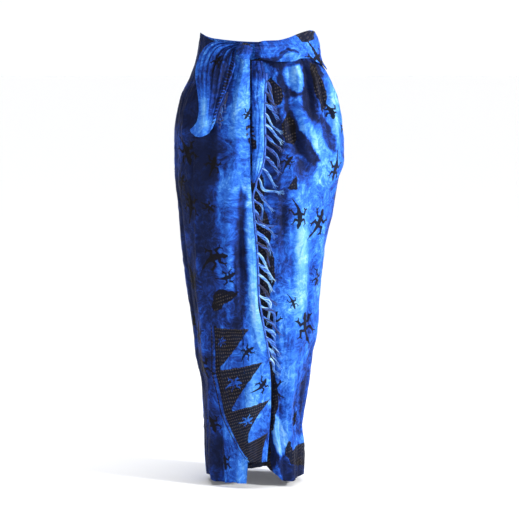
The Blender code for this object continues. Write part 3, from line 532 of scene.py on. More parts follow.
# Painted shade where the left side, the cloth under the tie end and the troughs lie in shade, and painted
# highlights on the free edge's ridge and the hem corner
LEFT_SHADES = (
    # The far side of the hip and thigh
    Shade(0.020, -0.25, (
        (-0.205, 0.095), (-0.150, 0.105), (-0.120, 0.200), (-0.097, 0.190), (-0.094, 0.330),
        (-0.092, 0.465), (-0.101, 0.504), (-0.085, 0.568), (-0.096, 0.640), (-0.105, 0.720),
        (-0.205, 0.740),
    )),
    # Its lower end
    Shade(0.020, -0.34, (
        (-0.205, 0.720), (-0.110, 0.720), (-0.100, 0.850), (-0.085, 0.940), (-0.090, 1.030), (-0.205, 1.030),
    )),
    # At the waist's corner
    Shade(0.006, -0.5, (
        (-0.159, -0.044), (-0.081, -0.002), (-0.110, 0.016), (-0.127, 0.044), (-0.136, 0.085),
        (-0.168, 0.094),
    )),
    # Left of the tie end
    Shade(0.010, -0.20, (
        (-0.131, 0.030), (-0.131, 0.172), (-0.145, 0.196), (-0.191, 0.191), (-0.179, 0.131),
        (-0.159, 0.085), (-0.143, 0.039),
    )),
    # Beneath the tie end
    Shade(0.014, -0.16, (
        (-0.150, 0.180), (-0.120, 0.205), (-0.100, 0.190), (-0.086, 0.131), (-0.076, 0.140),
        (-0.083, 0.200), (-0.094, 0.240), (-0.096, 0.306), (-0.124, 0.330), (-0.160, 0.269),
    )),
    # Deep left side of the column, beside the tie end
    Shade(0.007, -0.24, (
        (-0.086, 0.085), (-0.068, 0.045), (-0.060, 0.080), (-0.063, 0.138), (-0.082, 0.150),
    )),
    # Bright column
    Shade(0.010, -0.15, (
        (-0.085, 0.246), (-0.053, 0.246), (-0.044, 0.338), (-0.055, 0.396), (-0.060, 0.465),
        (-0.081, 0.476), (-0.085, 0.361),
    )),
    # Trough beside it
    Shade(0.010, -0.30, (
        (-0.048, 0.329), (-0.030, 0.343), (-0.035, 0.430), (-0.032, 0.522), (-0.030, 0.591),
        (-0.044, 0.665), (-0.060, 0.665), (-0.057, 0.568), (-0.060, 0.476), (-0.051, 0.407),
    )),
    # Ridge along the free edge
    Shade(0.005, 0.16, (
        (-0.028, 0.343), (-0.009, 0.338), (-0.007, 0.430), (-0.002, 0.545), (0.016, 0.614),
        (0.030, 0.695), (0.007, 0.711), (-0.018, 0.637), (-0.026, 0.522), (-0.029, 0.430),
    )),
    # Crease across the column
    Shade(0.003, -0.25, (
        (-0.076, 0.218), (-0.021, 0.221), (-0.021, 0.228), (-0.076, 0.225),
    )),
    # Pale hem corner
    Shade(0.010, 0.08, (
        (-0.067, 0.964), (-0.021, 0.950), (-0.021, 1.014), (-0.053, 1.010), (-0.076, 0.991),
    )),
)
# Painted highlights on the puff, the ridges and the leaf-shaped fold, and painted shade in the troughs, the
# pocket, under the band and at the hem corner
RIGHT_SHADES = (
    # The puff below the band
    Shade(0.008, 0.20, (
        (0.051, 0.044), (0.071, 0.041), (0.090, 0.053), (0.098, 0.076), (0.098, 0.106), (0.092, 0.117),
        (0.080, 0.114), (0.067, 0.097), (0.058, 0.071),
    )),
    # Trough left of it
    Shade(0.005, -0.34, (
        (0.039, 0.058), (0.050, 0.062), (0.061, 0.090), (0.070, 0.117), (0.070, 0.150), (0.056, 0.172),
        (0.058, 0.131), (0.046, 0.104),
    )),
    # The ridge that runs on from it
    Shade(0.006, 0.10, (
        (0.070, 0.120), (0.095, 0.120), (0.094, 0.147), (0.110, 0.177), (0.136, 0.207), (0.154, 0.246),
        (0.163, 0.281), (0.140, 0.287), (0.124, 0.246), (0.094, 0.207), (0.076, 0.172), (0.069, 0.143),
    )),
    # Beside the puff
    Shade(0.004, -0.2, (
        (0.097, 0.053), (0.120, 0.053), (0.122, 0.108), (0.101, 0.108),
    )),
    # Trough below that
    Shade(0.005, -0.46, (
        (0.099, 0.106), (0.122, 0.106), (0.124, 0.143), (0.136, 0.182), (0.117, 0.175), (0.101, 0.147),
    )),
    # Pinch under the puff
    Shade(0.003, -0.4, (
        (0.067, 0.103), (0.083, 0.115), (0.099, 0.113), (0.099, 0.120), (0.081, 0.124), (0.064, 0.120),
    )),
    # Trough at the right
    Shade(0.007, -0.4, (
        (0.140, 0.159), (0.152, 0.172), (0.172, 0.223), (0.172, 0.253), (0.159, 0.246), (0.143, 0.212),
        (0.136, 0.182),
    )),
    # Pocket
    Shade(0.004, -0.75, (
        (0.067, 0.156), (0.076, 0.161), (0.090, 0.196), (0.110, 0.225), (0.131, 0.251), (0.140, 0.269),
        (0.122, 0.283), (0.101, 0.265), (0.087, 0.246), (0.078, 0.212), (0.069, 0.182),
    )),
    # Below the pocket
    Shade(0.012, -0.22, (
        (0.090, 0.265), (0.131, 0.283), (0.122, 0.329), (0.094, 0.320),
    )),
    # Shadow of the band
    Shade(0.003, -0.5, (
        (0.007, 0.030), (0.037, 0.039), (0.064, 0.041), (0.094, 0.035), (0.127, 0.048), (0.154, 0.076),
        (0.140, 0.085), (0.113, 0.055), (0.090, 0.048), (0.064, 0.057), (0.037, 0.057), (0.007, 0.048),
    )),
    # Between the tassels and the gathers
    Shade(0.006, -0.35, (
        (0.007, 0.149), (0.044, 0.154), (0.055, 0.182), (0.057, 0.246), (0.041, 0.287), (0.007, 0.269),
    )),
    # Below that, beside the tassels
    Shade(0.008, -0.22, (
        (0.010, 0.265), (0.050, 0.255), (0.054, 0.310), (0.042, 0.352), (0.014, 0.350),
    )),
    # Deep field in the middle
    Shade(0.012, -0.14, (
        (0.026, 0.350), (0.058, 0.343), (0.060, 0.396), (0.052, 0.465), (0.034, 0.476),
    )),
    # Leaf-shaped fold at the hem
    Shade(0.003, 0.3, (
        (0.025, 0.895), (0.037, 0.853), (0.051, 0.879), (0.062, 0.913), (0.062, 0.931), (0.048, 0.955),
        (0.035, 0.931),
    )),
    # Hollow left of it
    Shade(0.004, -0.55, (
        (0.011, 0.844), (0.023, 0.867), (0.030, 0.904), (0.035, 0.934), (0.046, 0.959), (0.030, 0.987),
        (0.007, 0.978), (0.007, 0.948),
    )),
    # Pale ridge beside the lower tassels
    Shade(0.004, 0.15, (
        (0.045, 0.630), (0.053, 0.630), (0.056, 0.700), (0.063, 0.765), (0.052, 0.770), (0.047, 0.700),
    )),
    # Deep right edge of the shin
    Shade(0.005, -0.24, (
        (0.113, 0.700), (0.140, 0.690), (0.130, 0.800), (0.125, 0.915), (0.090, 0.915), (0.091, 0.845),
        (0.101, 0.775),
    )),
    # Dark hem corner
    Shade(0.006, -0.28, (
        (0.037, 0.957), (0.058, 0.950), (0.074, 0.975), (0.103, 0.982), (0.110, 1.030), (0.060, 1.030),
        (0.044, 0.990),
    )),
)

# Soft clouds of the tone, partly the dye's own pale and deep patches and partly painted highlights on lit
# ridges and painted shade in troughs and on the shaded left side: place across, drop, half sizes and
# strength, which is under 0 where it is deep
Cloud = namedtuple("Cloud", "place drop wide tall strength")
LEFT_CLOUDS = (
    Cloud(-0.030, 0.15, 0.014, 0.08, 0.02),
    Cloud(-0.062, 0.43, 0.022, 0.11, -0.07),
    Cloud(-0.014, 0.60, 0.012, 0.12, 0.12),
    Cloud(-0.015, 0.74, 0.040, 0.09, 0.20),
    Cloud(-0.040, 0.98, 0.030, 0.02, 0.08),
    Cloud(-0.150, 0.40, 0.050, 0.30, -0.10),
)
RIGHT_CLOUDS = (
    Cloud(0.080, 0.075, 0.014, 0.025, 0.06),
    Cloud(0.135, 0.250, 0.018, 0.050, 0.10),
    Cloud(0.098, 0.480, 0.020, 0.130, 0.30),
    Cloud(0.090, 0.740, 0.030, 0.070, 0.14),
    Cloud(0.172, 0.180, 0.022, 0.130, 0.22),
    Cloud(0.115, 0.100, 0.012, 0.070, -0.50),
    Cloud(0.048, 0.460, 0.018, 0.120, -0.06),
    Cloud(0.085, 0.620, 0.040, 0.060, 0.12),
    Cloud(0.056, 0.900, 0.014, 0.040, 0.12),
    Cloud(0.085, 0.990, 0.030, 0.030, -0.35),
)
TAIL_CLOUDS = (
    Cloud(-0.126, 0.145, 0.010, 0.030, 0.42),
    Cloud(-0.124, 0.190, 0.030, 0.024, 0.34),
    Cloud(-0.095, 0.070, 0.030, 0.050, -0.22),
    Cloud(-0.100, 0.130, 0.014, 0.030, -0.20),
    Cloud(-0.118, 0.030, 0.016, 0.020, 0.06),
    Cloud(-0.100, 0.060, 0.050, 0.060, -0.05),
)
BAND_CLOUDS = (
    Cloud(0.060, 0.000, 0.050, 0.010, 0.08),
    Cloud(0.050, 0.022, 0.050, 0.016, 0.09),
    Cloud(0.130, 0.030, 0.020, 0.030, 0.12),
)
CENTRE_CLOUDS = (
    Cloud(0.000, 0.170, 0.030, 0.100, 0.14),
    Cloud(0.004, 0.240, 0.012, 0.040, 0.10),
)
KNOT_CLOUDS = (
    Cloud(-0.030, 0.034, 0.010, 0.010, 0.20),
    Cloud(-0.028, 0.018, 0.050, 0.040, -0.16),
)

# Fine form of the cloth
CLOTH_THICKNESS = 0.0009
HEM_THICKNESS = 0.0018  # where the edge is rolled
HEM_WIDTH = 0.007
RIPPLE = 0.0020  # of the hem
RIPPLE_DROPS = Span(0.90, 0.99)  # over which it grows
RIPPLE_LENGTH = 0.0065  # for each radian of a ripple
RIPPLE_DRIFT = 0.05  # the same for the slow change of their width
FRONT_REACH = 0.99  # share of the half width up to which a place counts as one of the front
LATTICE = 128  # chance values along each side of the noise
CRUMPLE_RISE = 0.0016
CRUMPLE_SIZE = 0.015
CRUMPLE_STRETCH = 2.2  # crumples are this much longer down the cloth than across
CRUMPLE_WARP = 1.6  # how far their lines bend, in crumples
CRUMPLE_WARP_SIZE = 3  # size of those bends, in crumples
CRUMPLE_FINER = 2.1  # how many times smaller the second set is
FINER_SHARE = 0.35  # its share of the whole

# Waves of gathered cloth: rise, ridges from edge to edge and phase
Wave = namedtuple("Wave", "rise count phase")
TAIL_WAVES = (Wave(0.0016, 7, 0), Wave(0.0009, 12.5, 1))
TAIL_WAVES_FADE = Span(0.55, 0.95)  # shares of the left tail's length over which they fade out
TAIL_GATHER_SHADING = (Wave(0.11, 7, 0), Wave(0.07, 12.5, 1))  # painted highlights on their ridges and painted shade between them, and their mean
TAIL_MEAN_TONE = -0.05
TAIL_TONES_FADE = Span(0.25, 0.75)
CENTRE_TAIL_WAVES = (Wave(0.0013, 3.0, 0), Wave(0.0007, 6.5, 1))
KNOT_WAVES = (Wave(0.035, 5.5, 1), Wave(0.020, 9, 0))  # in shares of the knot's half sizes
KNOT_POLE = 0.02  # angle in radians at which the knot's rows start and end beside its poles

# How the lines of those waves sway: reach in shares of the width, rate and phase
Sway = namedtuple("Sway", "reach rate phase")
TAIL_SWAYS = (Sway(0.05, 5, 1),)
CENTRE_TAIL_SWAYS = (Sway(0.10, 9, 0), Sway(0.05, 23, 1))
KNOT_SWAYS = (Sway(0.10, 4, 0),)
# Crumples of the smaller pieces: rise and size
TAIL_CRUMPLES = (0.0008, 0.010)
BAND_CRUMPLES = (0.0006, 0.010)
CENTRE_TAIL_CRUMPLES = (0.0012, 0.009)

# The left tail's thick hem and the groove beside it, in shares of the tail's width
TAIL_HEM_RISE = 0.0026
TAIL_HEM_INNER = Span(0.83, 0.89)
TAIL_HEM_OUTER = Span(0.97, 1.00)
Groove = namedtuple("Groove", "depth at half")
TAIL_GROOVE = Groove(0.0016, 0.815, 0.025)
# Its dashed strip: middle and half width in the same shares, and the length of a dash
Hem = namedtuple("Hem", "middle half dash")
TAIL_HEM = Hem(0.90, 0.055, 0.0085)
TAIL_HEM_ENDS = Span(0.02, 0.93)  # shares of the tail's length between which it is dashed
TAIL_LENGTH = 0.24
DASHED = -1.0  # distance to a patch's outline that stands for the dashed strip, and the one beside it
BESIDE_DASHES = 0.03

# Creases along the band: rise, number across it, turns towards its end, phase, and where they are gone
Crease = namedtuple("Crease", "rise count turn phase end")
BAND_CREASES = (Crease(0.0011, 5, 1.6, 0, 1.2), Crease(0.0007, 9, -1.1, 2, 1.0))
# The deep crease that parts its rolls, by shares of the band's width and length
SPLIT_DEPTH = 0.0030
SPLIT_HALF = 0.045
SPLIT_AT = 0.30  # where it lies across the band, away from the knot
SPLIT_CLIMB = 0.38  # how much lower it is at the knot
SPLIT_CLIMB_END = 0.45  # where it has climbed from there
SPLIT_STARTED = 0.1  # where it has its full depth
SPLIT_FADE = Span(0.47, 0.62)  # where it fades out again

# The print, and the tone: the dye's own and painted shade and highlights
CAMERA_DISTANCE = 5.0
SIGHT = 0.98  # the front is nearer to the camera than the waist's middle, in whose plane its print is given
NOWHERE = 5.0  # local place of a motif that isn't there
PRINT_RADIUS = 0.150  # by which angles become distances in the print
BLACK_KIND, BLUE_KIND = 1, 2  # of geckos
MOTIF_REACH = 1.2  # how far a gecko's own frame reaches, in its lengths
BEND_MIDDLE = 0.08  # how far a bent gecko's middle stands to the side
STRIDE = 0.22  # by which one leg of each pair is ahead
BORDER_FROM = 292  # angle past which the border is on the left front panel
BORDER_REACH = 0.2  # greatest distance of the border from the middle of the front
BORDER_ROWS = 12  # lines of dots in each triangle of the border
BORDER_STEPS = 12  # in which a place along it is found, each this share of the way
BORDER_STRIDE = 0.7
TRIANGLE_SLOPE = 0.94  # of a triangle's long side, in triangles for each unit outwards
DOT_LINES = 0.0075  # between the lines of dots on the black
DOT_STEP = 0.0052  # between the dots of a line
DOT_SLANT = 0.35  # of the lines on all that isn't the border
WANDER = 0.0045  # how far the printed outlines stray
WANDER_SIZE = 0.022  # coarse and finer size of their bends
WANDER_FINER = 0.008
FOLD_SHADING_TONE = 16.0  # painted shade: how much the colour deepens for each metre that a fold sinks, and painted highlight where it rises
FOLD_SHADING_LIMITS = (-0.24, 0.12)
CREASE_SHADING_TONE = 30.0  # the same painted shade and highlight for the small creases
CREASE_SHADING_LIMITS = (-0.1, 0.1)
MOST_TONE = 0.38
TONE_SIDES = Span(-0.1, 0.2)  # cosines of the angles at the sides over which the front's own tones set in
PATCH_SIDE_DEPTH = 0.12  # how fast the dark patches end behind the sides
PATCH_SIDE_WAVES = ((0.005, 0.008), (0.003, 0.0031))  # reach and length of the waves of that end
THREAD = 0.0007
YARN_TWIST = 0.004


def unit(vectors):
    """The same directions at a length of 1."""
    return vectors / np.maximum(np.linalg.norm(vectors, axis=-1, keepdims=True), 1e-12)


def linked(name, data):
    """A new object of the scene."""
    made = bpy.data.objects.new(name, data)
    bpy.context.scene.collection.objects.link(made)
    return made


def column(table, name, at):
    """One named column of a table as a smooth curve, read at any place along the table's first column."""
    places = np.array([row[0] for row in table], float)
    values = np.array([getattr(row, name) for row in table], float)
    slopes = np.diff(values) / np.diff(places)
    # Flat where the values turn, so that the curve never overshoots the table
    turns = slopes[1:] * slopes[:-1] <= 0
    sums = np.where(turns, 1.0, slopes[1:] + slopes[:-1])
    inner = np.where(turns, 0.0, 2 * slopes[1:] * slopes[:-1] / sums)
    tangents = np.concatenate([slopes[:1], inner, slopes[-1:]])
    at = np.clip(at, places[0], places[-1])
    row = np.clip(np.searchsorted(places, at) - 1, 0, len(places) - 2)
    step = places[row + 1] - places[row]
    t = (at - places[row]) / step
    start = (2 * t**3 - 3 * t**2 + 1) * values[row] + (t**3 - 2 * t**2 + t) * step * tangents[row]
    end = (3 * t**2 - 2 * t**3) * values[row + 1] + (t**3 - t**2) * step * tangents[row + 1]
    return start + end


def ease(t):
    """A soft step from 0 to 1."""
    t = np.clip(t, 0.0, 1.0)
    return t * t * (3 - 2 * t)


def eased(span, at):
    """A soft step over a span."""
    return ease((at - span.start) / (span.end - span.start))


def mix(start, end, share):
    return start + (end - start) * share


def fold_rise(fold, angle, drop):
    """How far one fold moves the cloth outwards."""
    span = fold.bottom - fold.top
    t = np.clip((drop - fold.top) / span, 0.0, 1.0)
    mid = (fold.middle - fold.top) / span
    bend = (fold.middle_at - mix(fold.top_at, fold.bottom_at, mid)) / (mid * (1 - mid))
    off = angle - (mix(fold.top_at, fold.bottom_at, t) + bend * t * (1 - t))
    width = mix(fold.top_width, fold.bottom_width, t) * (1 + fold.lean * np.sign(off))
    across = np.where(np.abs(off) < width, 0.5 + 0.5 * np.cos(np.pi * off / width), 0.0)
    upper = mix(fold.top_share, 1, ease(t / mid))
    lower = mix(1, fold.bottom_share, ease((t - mid) / (1 - mid)))
    along = np.where(t < mid, upper, lower)
    fade = ease(1 + (drop - fold.top) / FOLD_FADE) * ease(1 + (fold.bottom - drop) / FOLD_FADE)
    return fold.rise * across * along * fade


def folds_rise(folds, angle, drop):
    return sum(fold_rise(fold, angle, drop) for fold in folds)


def wave_sum(waves, place):
    """Sum of the waves of gathered cloth, at shares of its width."""
    return sum(wave.rise * np.cos(2 * np.pi * wave.count * place + wave.phase) for wave in waves)


def sway_sum(sways, at):
    """How far swaying lines are off at a place along them."""
    return sum(sway.reach * np.sin(sway.rate * at + sway.phase) for sway in sways)


def side_width(across, drop):
    """The rings' half width to the left or to the right, whichever side a place is on."""
    return np.where(across < 0, column(RINGS, "left", drop), column(RINGS, "right", drop))


def ring(angle, drop):
    """The plain rings' points and outward directions."""
    side = np.sin(np.radians(angle))
    face = np.cos(np.radians(angle))
    half_width = side_width(side, drop)
    depth = np.where(face > 0, column(RINGS, "front", drop), column(RINGS, "back", drop))
    points = np.stack([half_width * side, -depth * face, -drop], axis=-1)
    outward = np.stack([side / half_width, -face / depth, np.zeros_like(drop)], axis=-1)
    return points, unit(outward)


def front_angle(across, drop):
    """The angle whose front point lies this far to the side of the middle."""
    share = np.clip(across / side_width(across, drop), -FRONT_REACH, FRONT_REACH)
    return np.degrees(np.arcsin(share))


def free_edge_angle(drop):
    return 360 + front_angle(column(FREE_EDGE, "across", drop), drop)


def recess_rise(angle, drop):
    return fold_rise(RECESS, np.where(angle > 180, angle - 360, angle), drop)


def left_rise(angle, drop):
    """The left front panel, at angles from the left side to the free edge."""
    folds = np.maximum(folds_rise(LEFT_FOLDS, angle, drop), -MOST_DENT)
    return recess_rise(angle, drop) + folds + folds_rise(BACK_FOLDS, angle, drop)


def right_rise(angle, drop):
    """The back and the under layer, at angles up to the left side."""
    past_edge = angle - (free_edge_angle(drop) - 360)
    layer = -LAYER_DEPTH * (1 - ease((past_edge - LAYER_SHELF) / LAYER_RAMP))
    folds = folds_rise(RIGHT_FOLDS, angle, drop) * ease(past_edge / LAYER_SHELF)
    return recess_rise(angle, drop) + layer + folds + folds_rise(BACK_FOLDS, angle, drop)


def on_panel(angle):
    """Whether an angle is one of the left front panel's."""
    return angle > LEFT_SIDE - 1


def layered_rise(left, right, back, angle, drop):
    """Rise of the left front panel's folds or of the layer's under it, with the back's folds."""
    front = np.where(on_panel(angle), folds_rise(left, angle, drop), folds_rise(right, angle, drop))
    return front + folds_rise(back, angle, drop)


def cloth(angle, drop, lift=0.0):
    """Points of the wound cloth's outer face, moved outwards by lift."""
    points, outward = ring(angle, drop)
    rise = np.where(on_panel(angle), left_rise(angle, drop), right_rise(angle, drop))
    return points + outward * (rise + lift)[..., None]


def top_rise(across, drop):
    """The rise of whichever layer lies outermost at this place on the front."""
    angle = front_angle(across, drop)
    under = right_rise(angle, drop)
    over = left_rise(angle + 360, drop)
    near_edge = across < column(FREE_EDGE, "across", drop) + EDGE_REACH
    return np.where(near_edge, np.maximum(under, over), under)


def highest_near(rise, place, drop, reach):
    """The greatest rise within reach to each side, so that what lies on the cloth spans its folds."""
    return np.maximum.reduce([rise(place + share * reach, drop) for share in (-1, -0.5, 0, 0.5, 1)])


def on_front(across, drop, rise):
    """A point of the front by its place across and its drop, this far out from the rings."""
    points, outward = ring(front_angle(across, drop), drop)
    return points + outward * np.asarray(rise)[..., None]


def drop_at(angle, down):
    """The drop of a row, by its share of the way from the waist's edge to the hem."""
    top = -column(WAIST_EDGE, "height", angle)
    return mix(top, LENGTH - column(HEM_EDGE, "height", angle), down**ROW_SPREAD)


def lattice_noise(x, y, seed):
    """Smooth noise from 0 to 1 over a lattice of chance values, one unit apart."""
    values = np.random.RandomState(seed).rand(LATTICE, LATTICE)
    column_at = np.floor(x).astype(int)
    row_at = np.floor(y).astype(int)
    fx = ease(x - column_at)
    fy = ease(y - row_at)

    def corner(dx, dy):
        return values[(column_at + dx) % LATTICE, (row_at + dy) % LATTICE]

    return mix(mix(corner(0, 0), corner(1, 0), fx), mix(corner(0, 1), corner(1, 1), fx), fy)


def ridge_noise(x, y, seed):
    """Noise with sharp ridges, from -1 to 1."""
    return 1 - 2 * np.abs(2 * lattice_noise(x, y, seed) - 1)


def crumple(along, down, height, size):
    """Sharp little ridges of crumpled cloth, this high and this far apart."""
    broad = CRUMPLE_WARP_SIZE * size
    warp_x = lattice_noise(along / broad, down / broad, 3)
    warp_y = lattice_noise(along / broad + 40, down / broad, 4)
    x = along / size + CRUMPLE_WARP * warp_x
    y = down / (CRUMPLE_STRETCH * size) + CRUMPLE_WARP * warp_y
    finer = ridge_noise(CRUMPLE_FINER * x + 7, CRUMPLE_FINER * y, 6)
    return height * ((1 - FINER_SHARE) * ridge_noise(x, y, 5) + FINER_SHARE * finer)


def around(angle):
    """Distance round the cloth, for its print and its small creases."""
    return np.radians(angle) * PRINT_RADIUS


def fine_rise(angle, drop):
    """The small creases, crumples and hem ripple that the solids don't have."""
    along = around(angle)
    rise = layered_rise(FINE_LEFT, FINE_RIGHT, FINE_BACK, angle, drop)
    rise = rise + crumple(along, drop, CRUMPLE_RISE, CRUMPLE_SIZE)
    ripple = np.sin(along / RIPPLE_LENGTH + 3 * np.sin(along / RIPPLE_DRIFT))
    return rise + RIPPLE * eased(RIPPLE_DROPS, drop) * ripple


def polygon_distance(across, drop, outline):
    """Distance to an outline, negative inside it."""
    points = np.stack([across, drop], axis=-1)
    outline = np.array(outline, float)
    nearest = np.full(np.shape(across), 1e9)
    inside = np.zeros(np.shape(across), bool)
    for start, end in zip(outline, np.roll(outline, -1, axis=0)):
        edge = end - start
        t = np.clip(((points - start) @ edge) / (edge @ edge), 0, 1)
        nearest = np.minimum(nearest, np.linalg.norm(points - start - t[..., None] * edge, axis=-1))
        crosses = (start[1] > drop) != (end[1] > drop)
        rise = end[1] - start[1]
        x_at = start[0] + (drop - start[1]) * edge[0] / (rise if rise else 1e-9)
        inside ^= crosses & (across < x_at)
    return np.where(inside, -nearest, nearest)


def patch_distance(across, drop, patches):
    """Distance to the nearest of the patches' uneven outlines, negative inside one."""
    across, drop = wander(across, drop)
    return np.minimum.reduce([polygon_distance(across, drop, outline) for outline in patches])


def add_tone(piece, tone):
    """Adds painted shade and highlights to the tone at a shell's points, alike on its two faces."""
    values = np.zeros(len(piece.data.vertices))
    attribute = piece.data.attributes["tone"]
    attribute.data.foreach_get("value", values)
    attribute.data.foreach_set("value", values + np.tile(tone.ravel(), 2))


def stray(across, drop, seed):
    """Coarse and finer noise together, from 0 to 1.5."""
    coarse = lattice_noise(across / WANDER_SIZE, drop / WANDER_SIZE, seed)
    return coarse + 0.5 * lattice_noise(across / WANDER_FINER, drop / WANDER_FINER, seed + 1)


def wander(across, drop):
    """Places as seen in the waist's plane, moved to and fro so that what is drawn there is uneven."""
    across, drop = across / SIGHT, drop / SIGHT
    aside = 2 * stray(across, drop, 11) - 1.5
    below = 2 * stray(across, drop, 13) - 1.5
    return across + WANDER * aside, drop + WANDER * below


def shade_tone(across, drop, shades):
    """Sum of the painted shade and painted highlights, sharp-edged fields of the tone."""
    across, drop = wander(across, drop)
    tone = np.zeros(np.shape(across))
    for shade in shades:
        tone += shade.strength * ease(0.5 - polygon_distance(across, drop, shade.outline) / shade.soft)
    return tone


def cloud_tone(place, drop, clouds):
    """Sum of the soft pale and deep clouds, partly the dye's own and partly painted highlights and shade."""
    tone = np.zeros(np.shape(place))
    for cloud in clouds:
        across_it = (place / SIGHT - cloud.place) / cloud.wide
        down_it = (drop / SIGHT - cloud.drop) / cloud.tall
        reach = across_it**2 + down_it**2
        tone += cloud.strength * np.exp(-reach)
    return tone


def border_place(across, drop):
    """Place in the border's row of triangles: outwards from its base line, and along it in triangles."""
    across, drop = across / SIGHT, drop / SIGHT
    index = np.arange(len(BORDER)) - 1.0
    base_across, base_drop, tip_across, tip_drop = (np.array(values) for values in zip(*BORDER))
    along = np.interp(drop, base_drop, index)
    # The tips lie at other drops than the bases, so the place along the row is found step by step
    for _ in range(BORDER_STEPS):
        left_at = np.interp(along, index, base_across)
        right_at = np.interp(along, index, tip_across)
        out = (across - left_at) / (right_at - left_at)
        climb = np.interp(along, index, tip_drop) - np.interp(along, index, base_drop)
        along = mix(along, np.interp(drop - out * climb, base_drop, index), BORDER_STRIDE)
    return out, along


def metres_per_degree(angle, drop):
    """Distance along the rings for one degree."""
    step = ring(np.array(angle + 0.5), np.array(drop))[0] - ring(np.array(angle - 0.5), np.array(drop))[0]
    return float(np.linalg.norm(step))


def tone_with_painted_light(across, drop, clouds, shades):
    """The tone from its clouds, partly painted light and shade, and from its painted shade and highlights."""
    return cloud_tone(across, drop, clouds) + shade_tone(across, drop, shades)


def motif_places(angle, drop, quads, geckos, blue_geckos):
    """For each corner of each face, its place in the nearest gecko's own frame, and that gecko's kind."""
    count = len(quads)
    best = np.full(count, 1e9)
    places = np.full((count, 4, 3), NOWHERE)
    places[:, :, 2] = 0.0
    middle_angle = angle[quads].mean(axis=1)
    middle_drop = drop[quads].mean(axis=1)
    kinds = [(gecko, BLACK_KIND) for gecko in geckos] + [(gecko, BLUE_KIND) for gecko in blue_geckos]
    for gecko, kind in kinds:
        scale = metres_per_degree(gecko.place, gecko.drop)
        turn = math.radians(gecko.heading)
        away = np.hypot((middle_angle - gecko.place) * scale, middle_drop - gecko.drop) / gecko.length
        nearer = (away < best) & (away < MOTIF_REACH)
        best = np.where(nearer, away, best)
        across = (angle[quads[nearer]] - gecko.place) * scale / gecko.length
        up = (gecko.drop - drop[quads[nearer]]) / gecko.length
        x = across * math.sin(turn) + up * math.cos(turn)
        y = (across * math.cos(turn) - up * math.sin(turn)) / gecko.girth
        y = y - gecko.bend * (x * x - BEND_MIDDLE)
        x = x + STRIDE * y
        places[nearer] = np.stack([x, y, np.full(x.shape, float(kind))], axis=-1)
    return places


def front_places(rows, layer):
    """Rows placed across the front, turned to angles of the left front panel or of the layer under it."""
    turned = []
    for row in rows:
        drop = row.drop * SIGHT
        angle = float(front_angle(np.array(row.place * SIGHT), np.array(drop)))
        turned.append(row._replace(place=angle + (360 if layer == "over" else 0), drop=drop))
    return turned


def store(mesh, name, kind, domain, values):
    """Stores values with a mesh's points or corners, under a name that its materials read."""
    field = "value" if kind == "FLOAT" else "vector"
    mesh.attributes.new(name, kind, domain).data.foreach_set(field, values.ravel())


def shell_faces(rows, columns):
    """Faces of a closed shell over a grid of points: the outer ones, the inner ones and those of its rim."""
    number = np.arange(rows * columns).reshape(rows, columns)
    a, b = number[:-1, :-1].ravel(), number[1:, :-1].ravel()
    c, d = number[1:, 1:].ravel(), number[:-1, 1:].ravel()
    other = rows * columns
    outer_faces = np.stack([a, b, c, d], axis=1)
    inner_faces = np.stack([d, c, b, a], axis=1) + other
    rim = np.concatenate([number[:, 0], number[-1, 1:], number[-2::-1, -1], number[0, -2:0:-1]])
    after = np.roll(rim, -1)
    rim_faces = np.stack([after, rim, rim + other, after + other], axis=1)
    return outer_faces, inner_faces, rim_faces


def shell(
    name,
    points,
    angle,
    drop,
    thickness=CLOTH_THICKNESS,
    geckos=(),
    blue_geckos=(),
    patches=(),
    clouds=(),
    border=False,
):
    """A thin closed shell of cloth, with its print, through points whose rows run down and columns across."""
    rows, columns = points.shape[:2]
    outward = unit(np.cross(np.gradient(points, axis=0), np.gradient(points, axis=1)))
    inner = points - outward * np.broadcast_to(thickness, (rows, columns))[..., None]
    vertices = np.concatenate([points.reshape(-1, 3), inner.reshape(-1, 3)])
    outer_faces, inner_faces, rim_faces = shell_faces(rows, columns)
    quads = np.concatenate([outer_faces, inner_faces, rim_faces])
    mesh = bpy.data.meshes.new(name)
    mesh.from_pydata(vertices.tolist(), [], quads.tolist())
    mesh.shade_smooth()
    for material in CLOTH:
        mesh.materials.append(material)
    inside = np.zeros(len(quads), np.int32)
    inside[len(outer_faces) : len(outer_faces) + len(inner_faces)] = 1
    mesh.polygons.foreach_set("material_index", inside)

    twice_angle = np.tile(angle.ravel(), 2)
    twice_drop = np.tile(drop.ravel(), 2)
    loops = quads.ravel()
    laid_flat = np.stack([around(twice_angle)[loops], twice_drop[loops]], axis=1)
    mesh.uv_layers.new(name="cloth").data.foreach_set("uv", laid_flat.ravel())
    motifs = motif_places(twice_angle, twice_drop, quads, geckos, blue_geckos)
    store(mesh, "motif", "FLOAT_VECTOR", "CORNER", motifs)

    place = points[..., 0]
    printed = np.zeros(points.shape)
    printed[..., 0] = -NOWHERE
    printed[..., 2] = patch_distance(place, drop, patches) if len(patches) else NOWHERE
    if border:
        on_it = (angle > BORDER_FROM) & (np.abs(place) < BORDER_REACH)
        out, along = border_place(place, drop)
        printed[..., 0] = np.where(on_it, np.clip(out, -NOWHERE, NOWHERE), -NOWHERE)
        printed[..., 1] = along
    store(mesh, "printed", "FLOAT_VECTOR", "POINT", np.tile(printed.reshape(-1, 3), (2, 1)))
    store(mesh, "tone", "FLOAT", "POINT", np.tile(cloud_tone(place, drop, clouds).ravel(), 2))
    return linked(name, mesh)


def rolled(far, near_edges):
    """Thickness of the cloth, doubled within a hem's width of the edges at these distances."""
    nearest = np.minimum.reduce(near_edges)
    return mix(HEM_THICKNESS, far, ease(nearest / HEM_WIDTH))
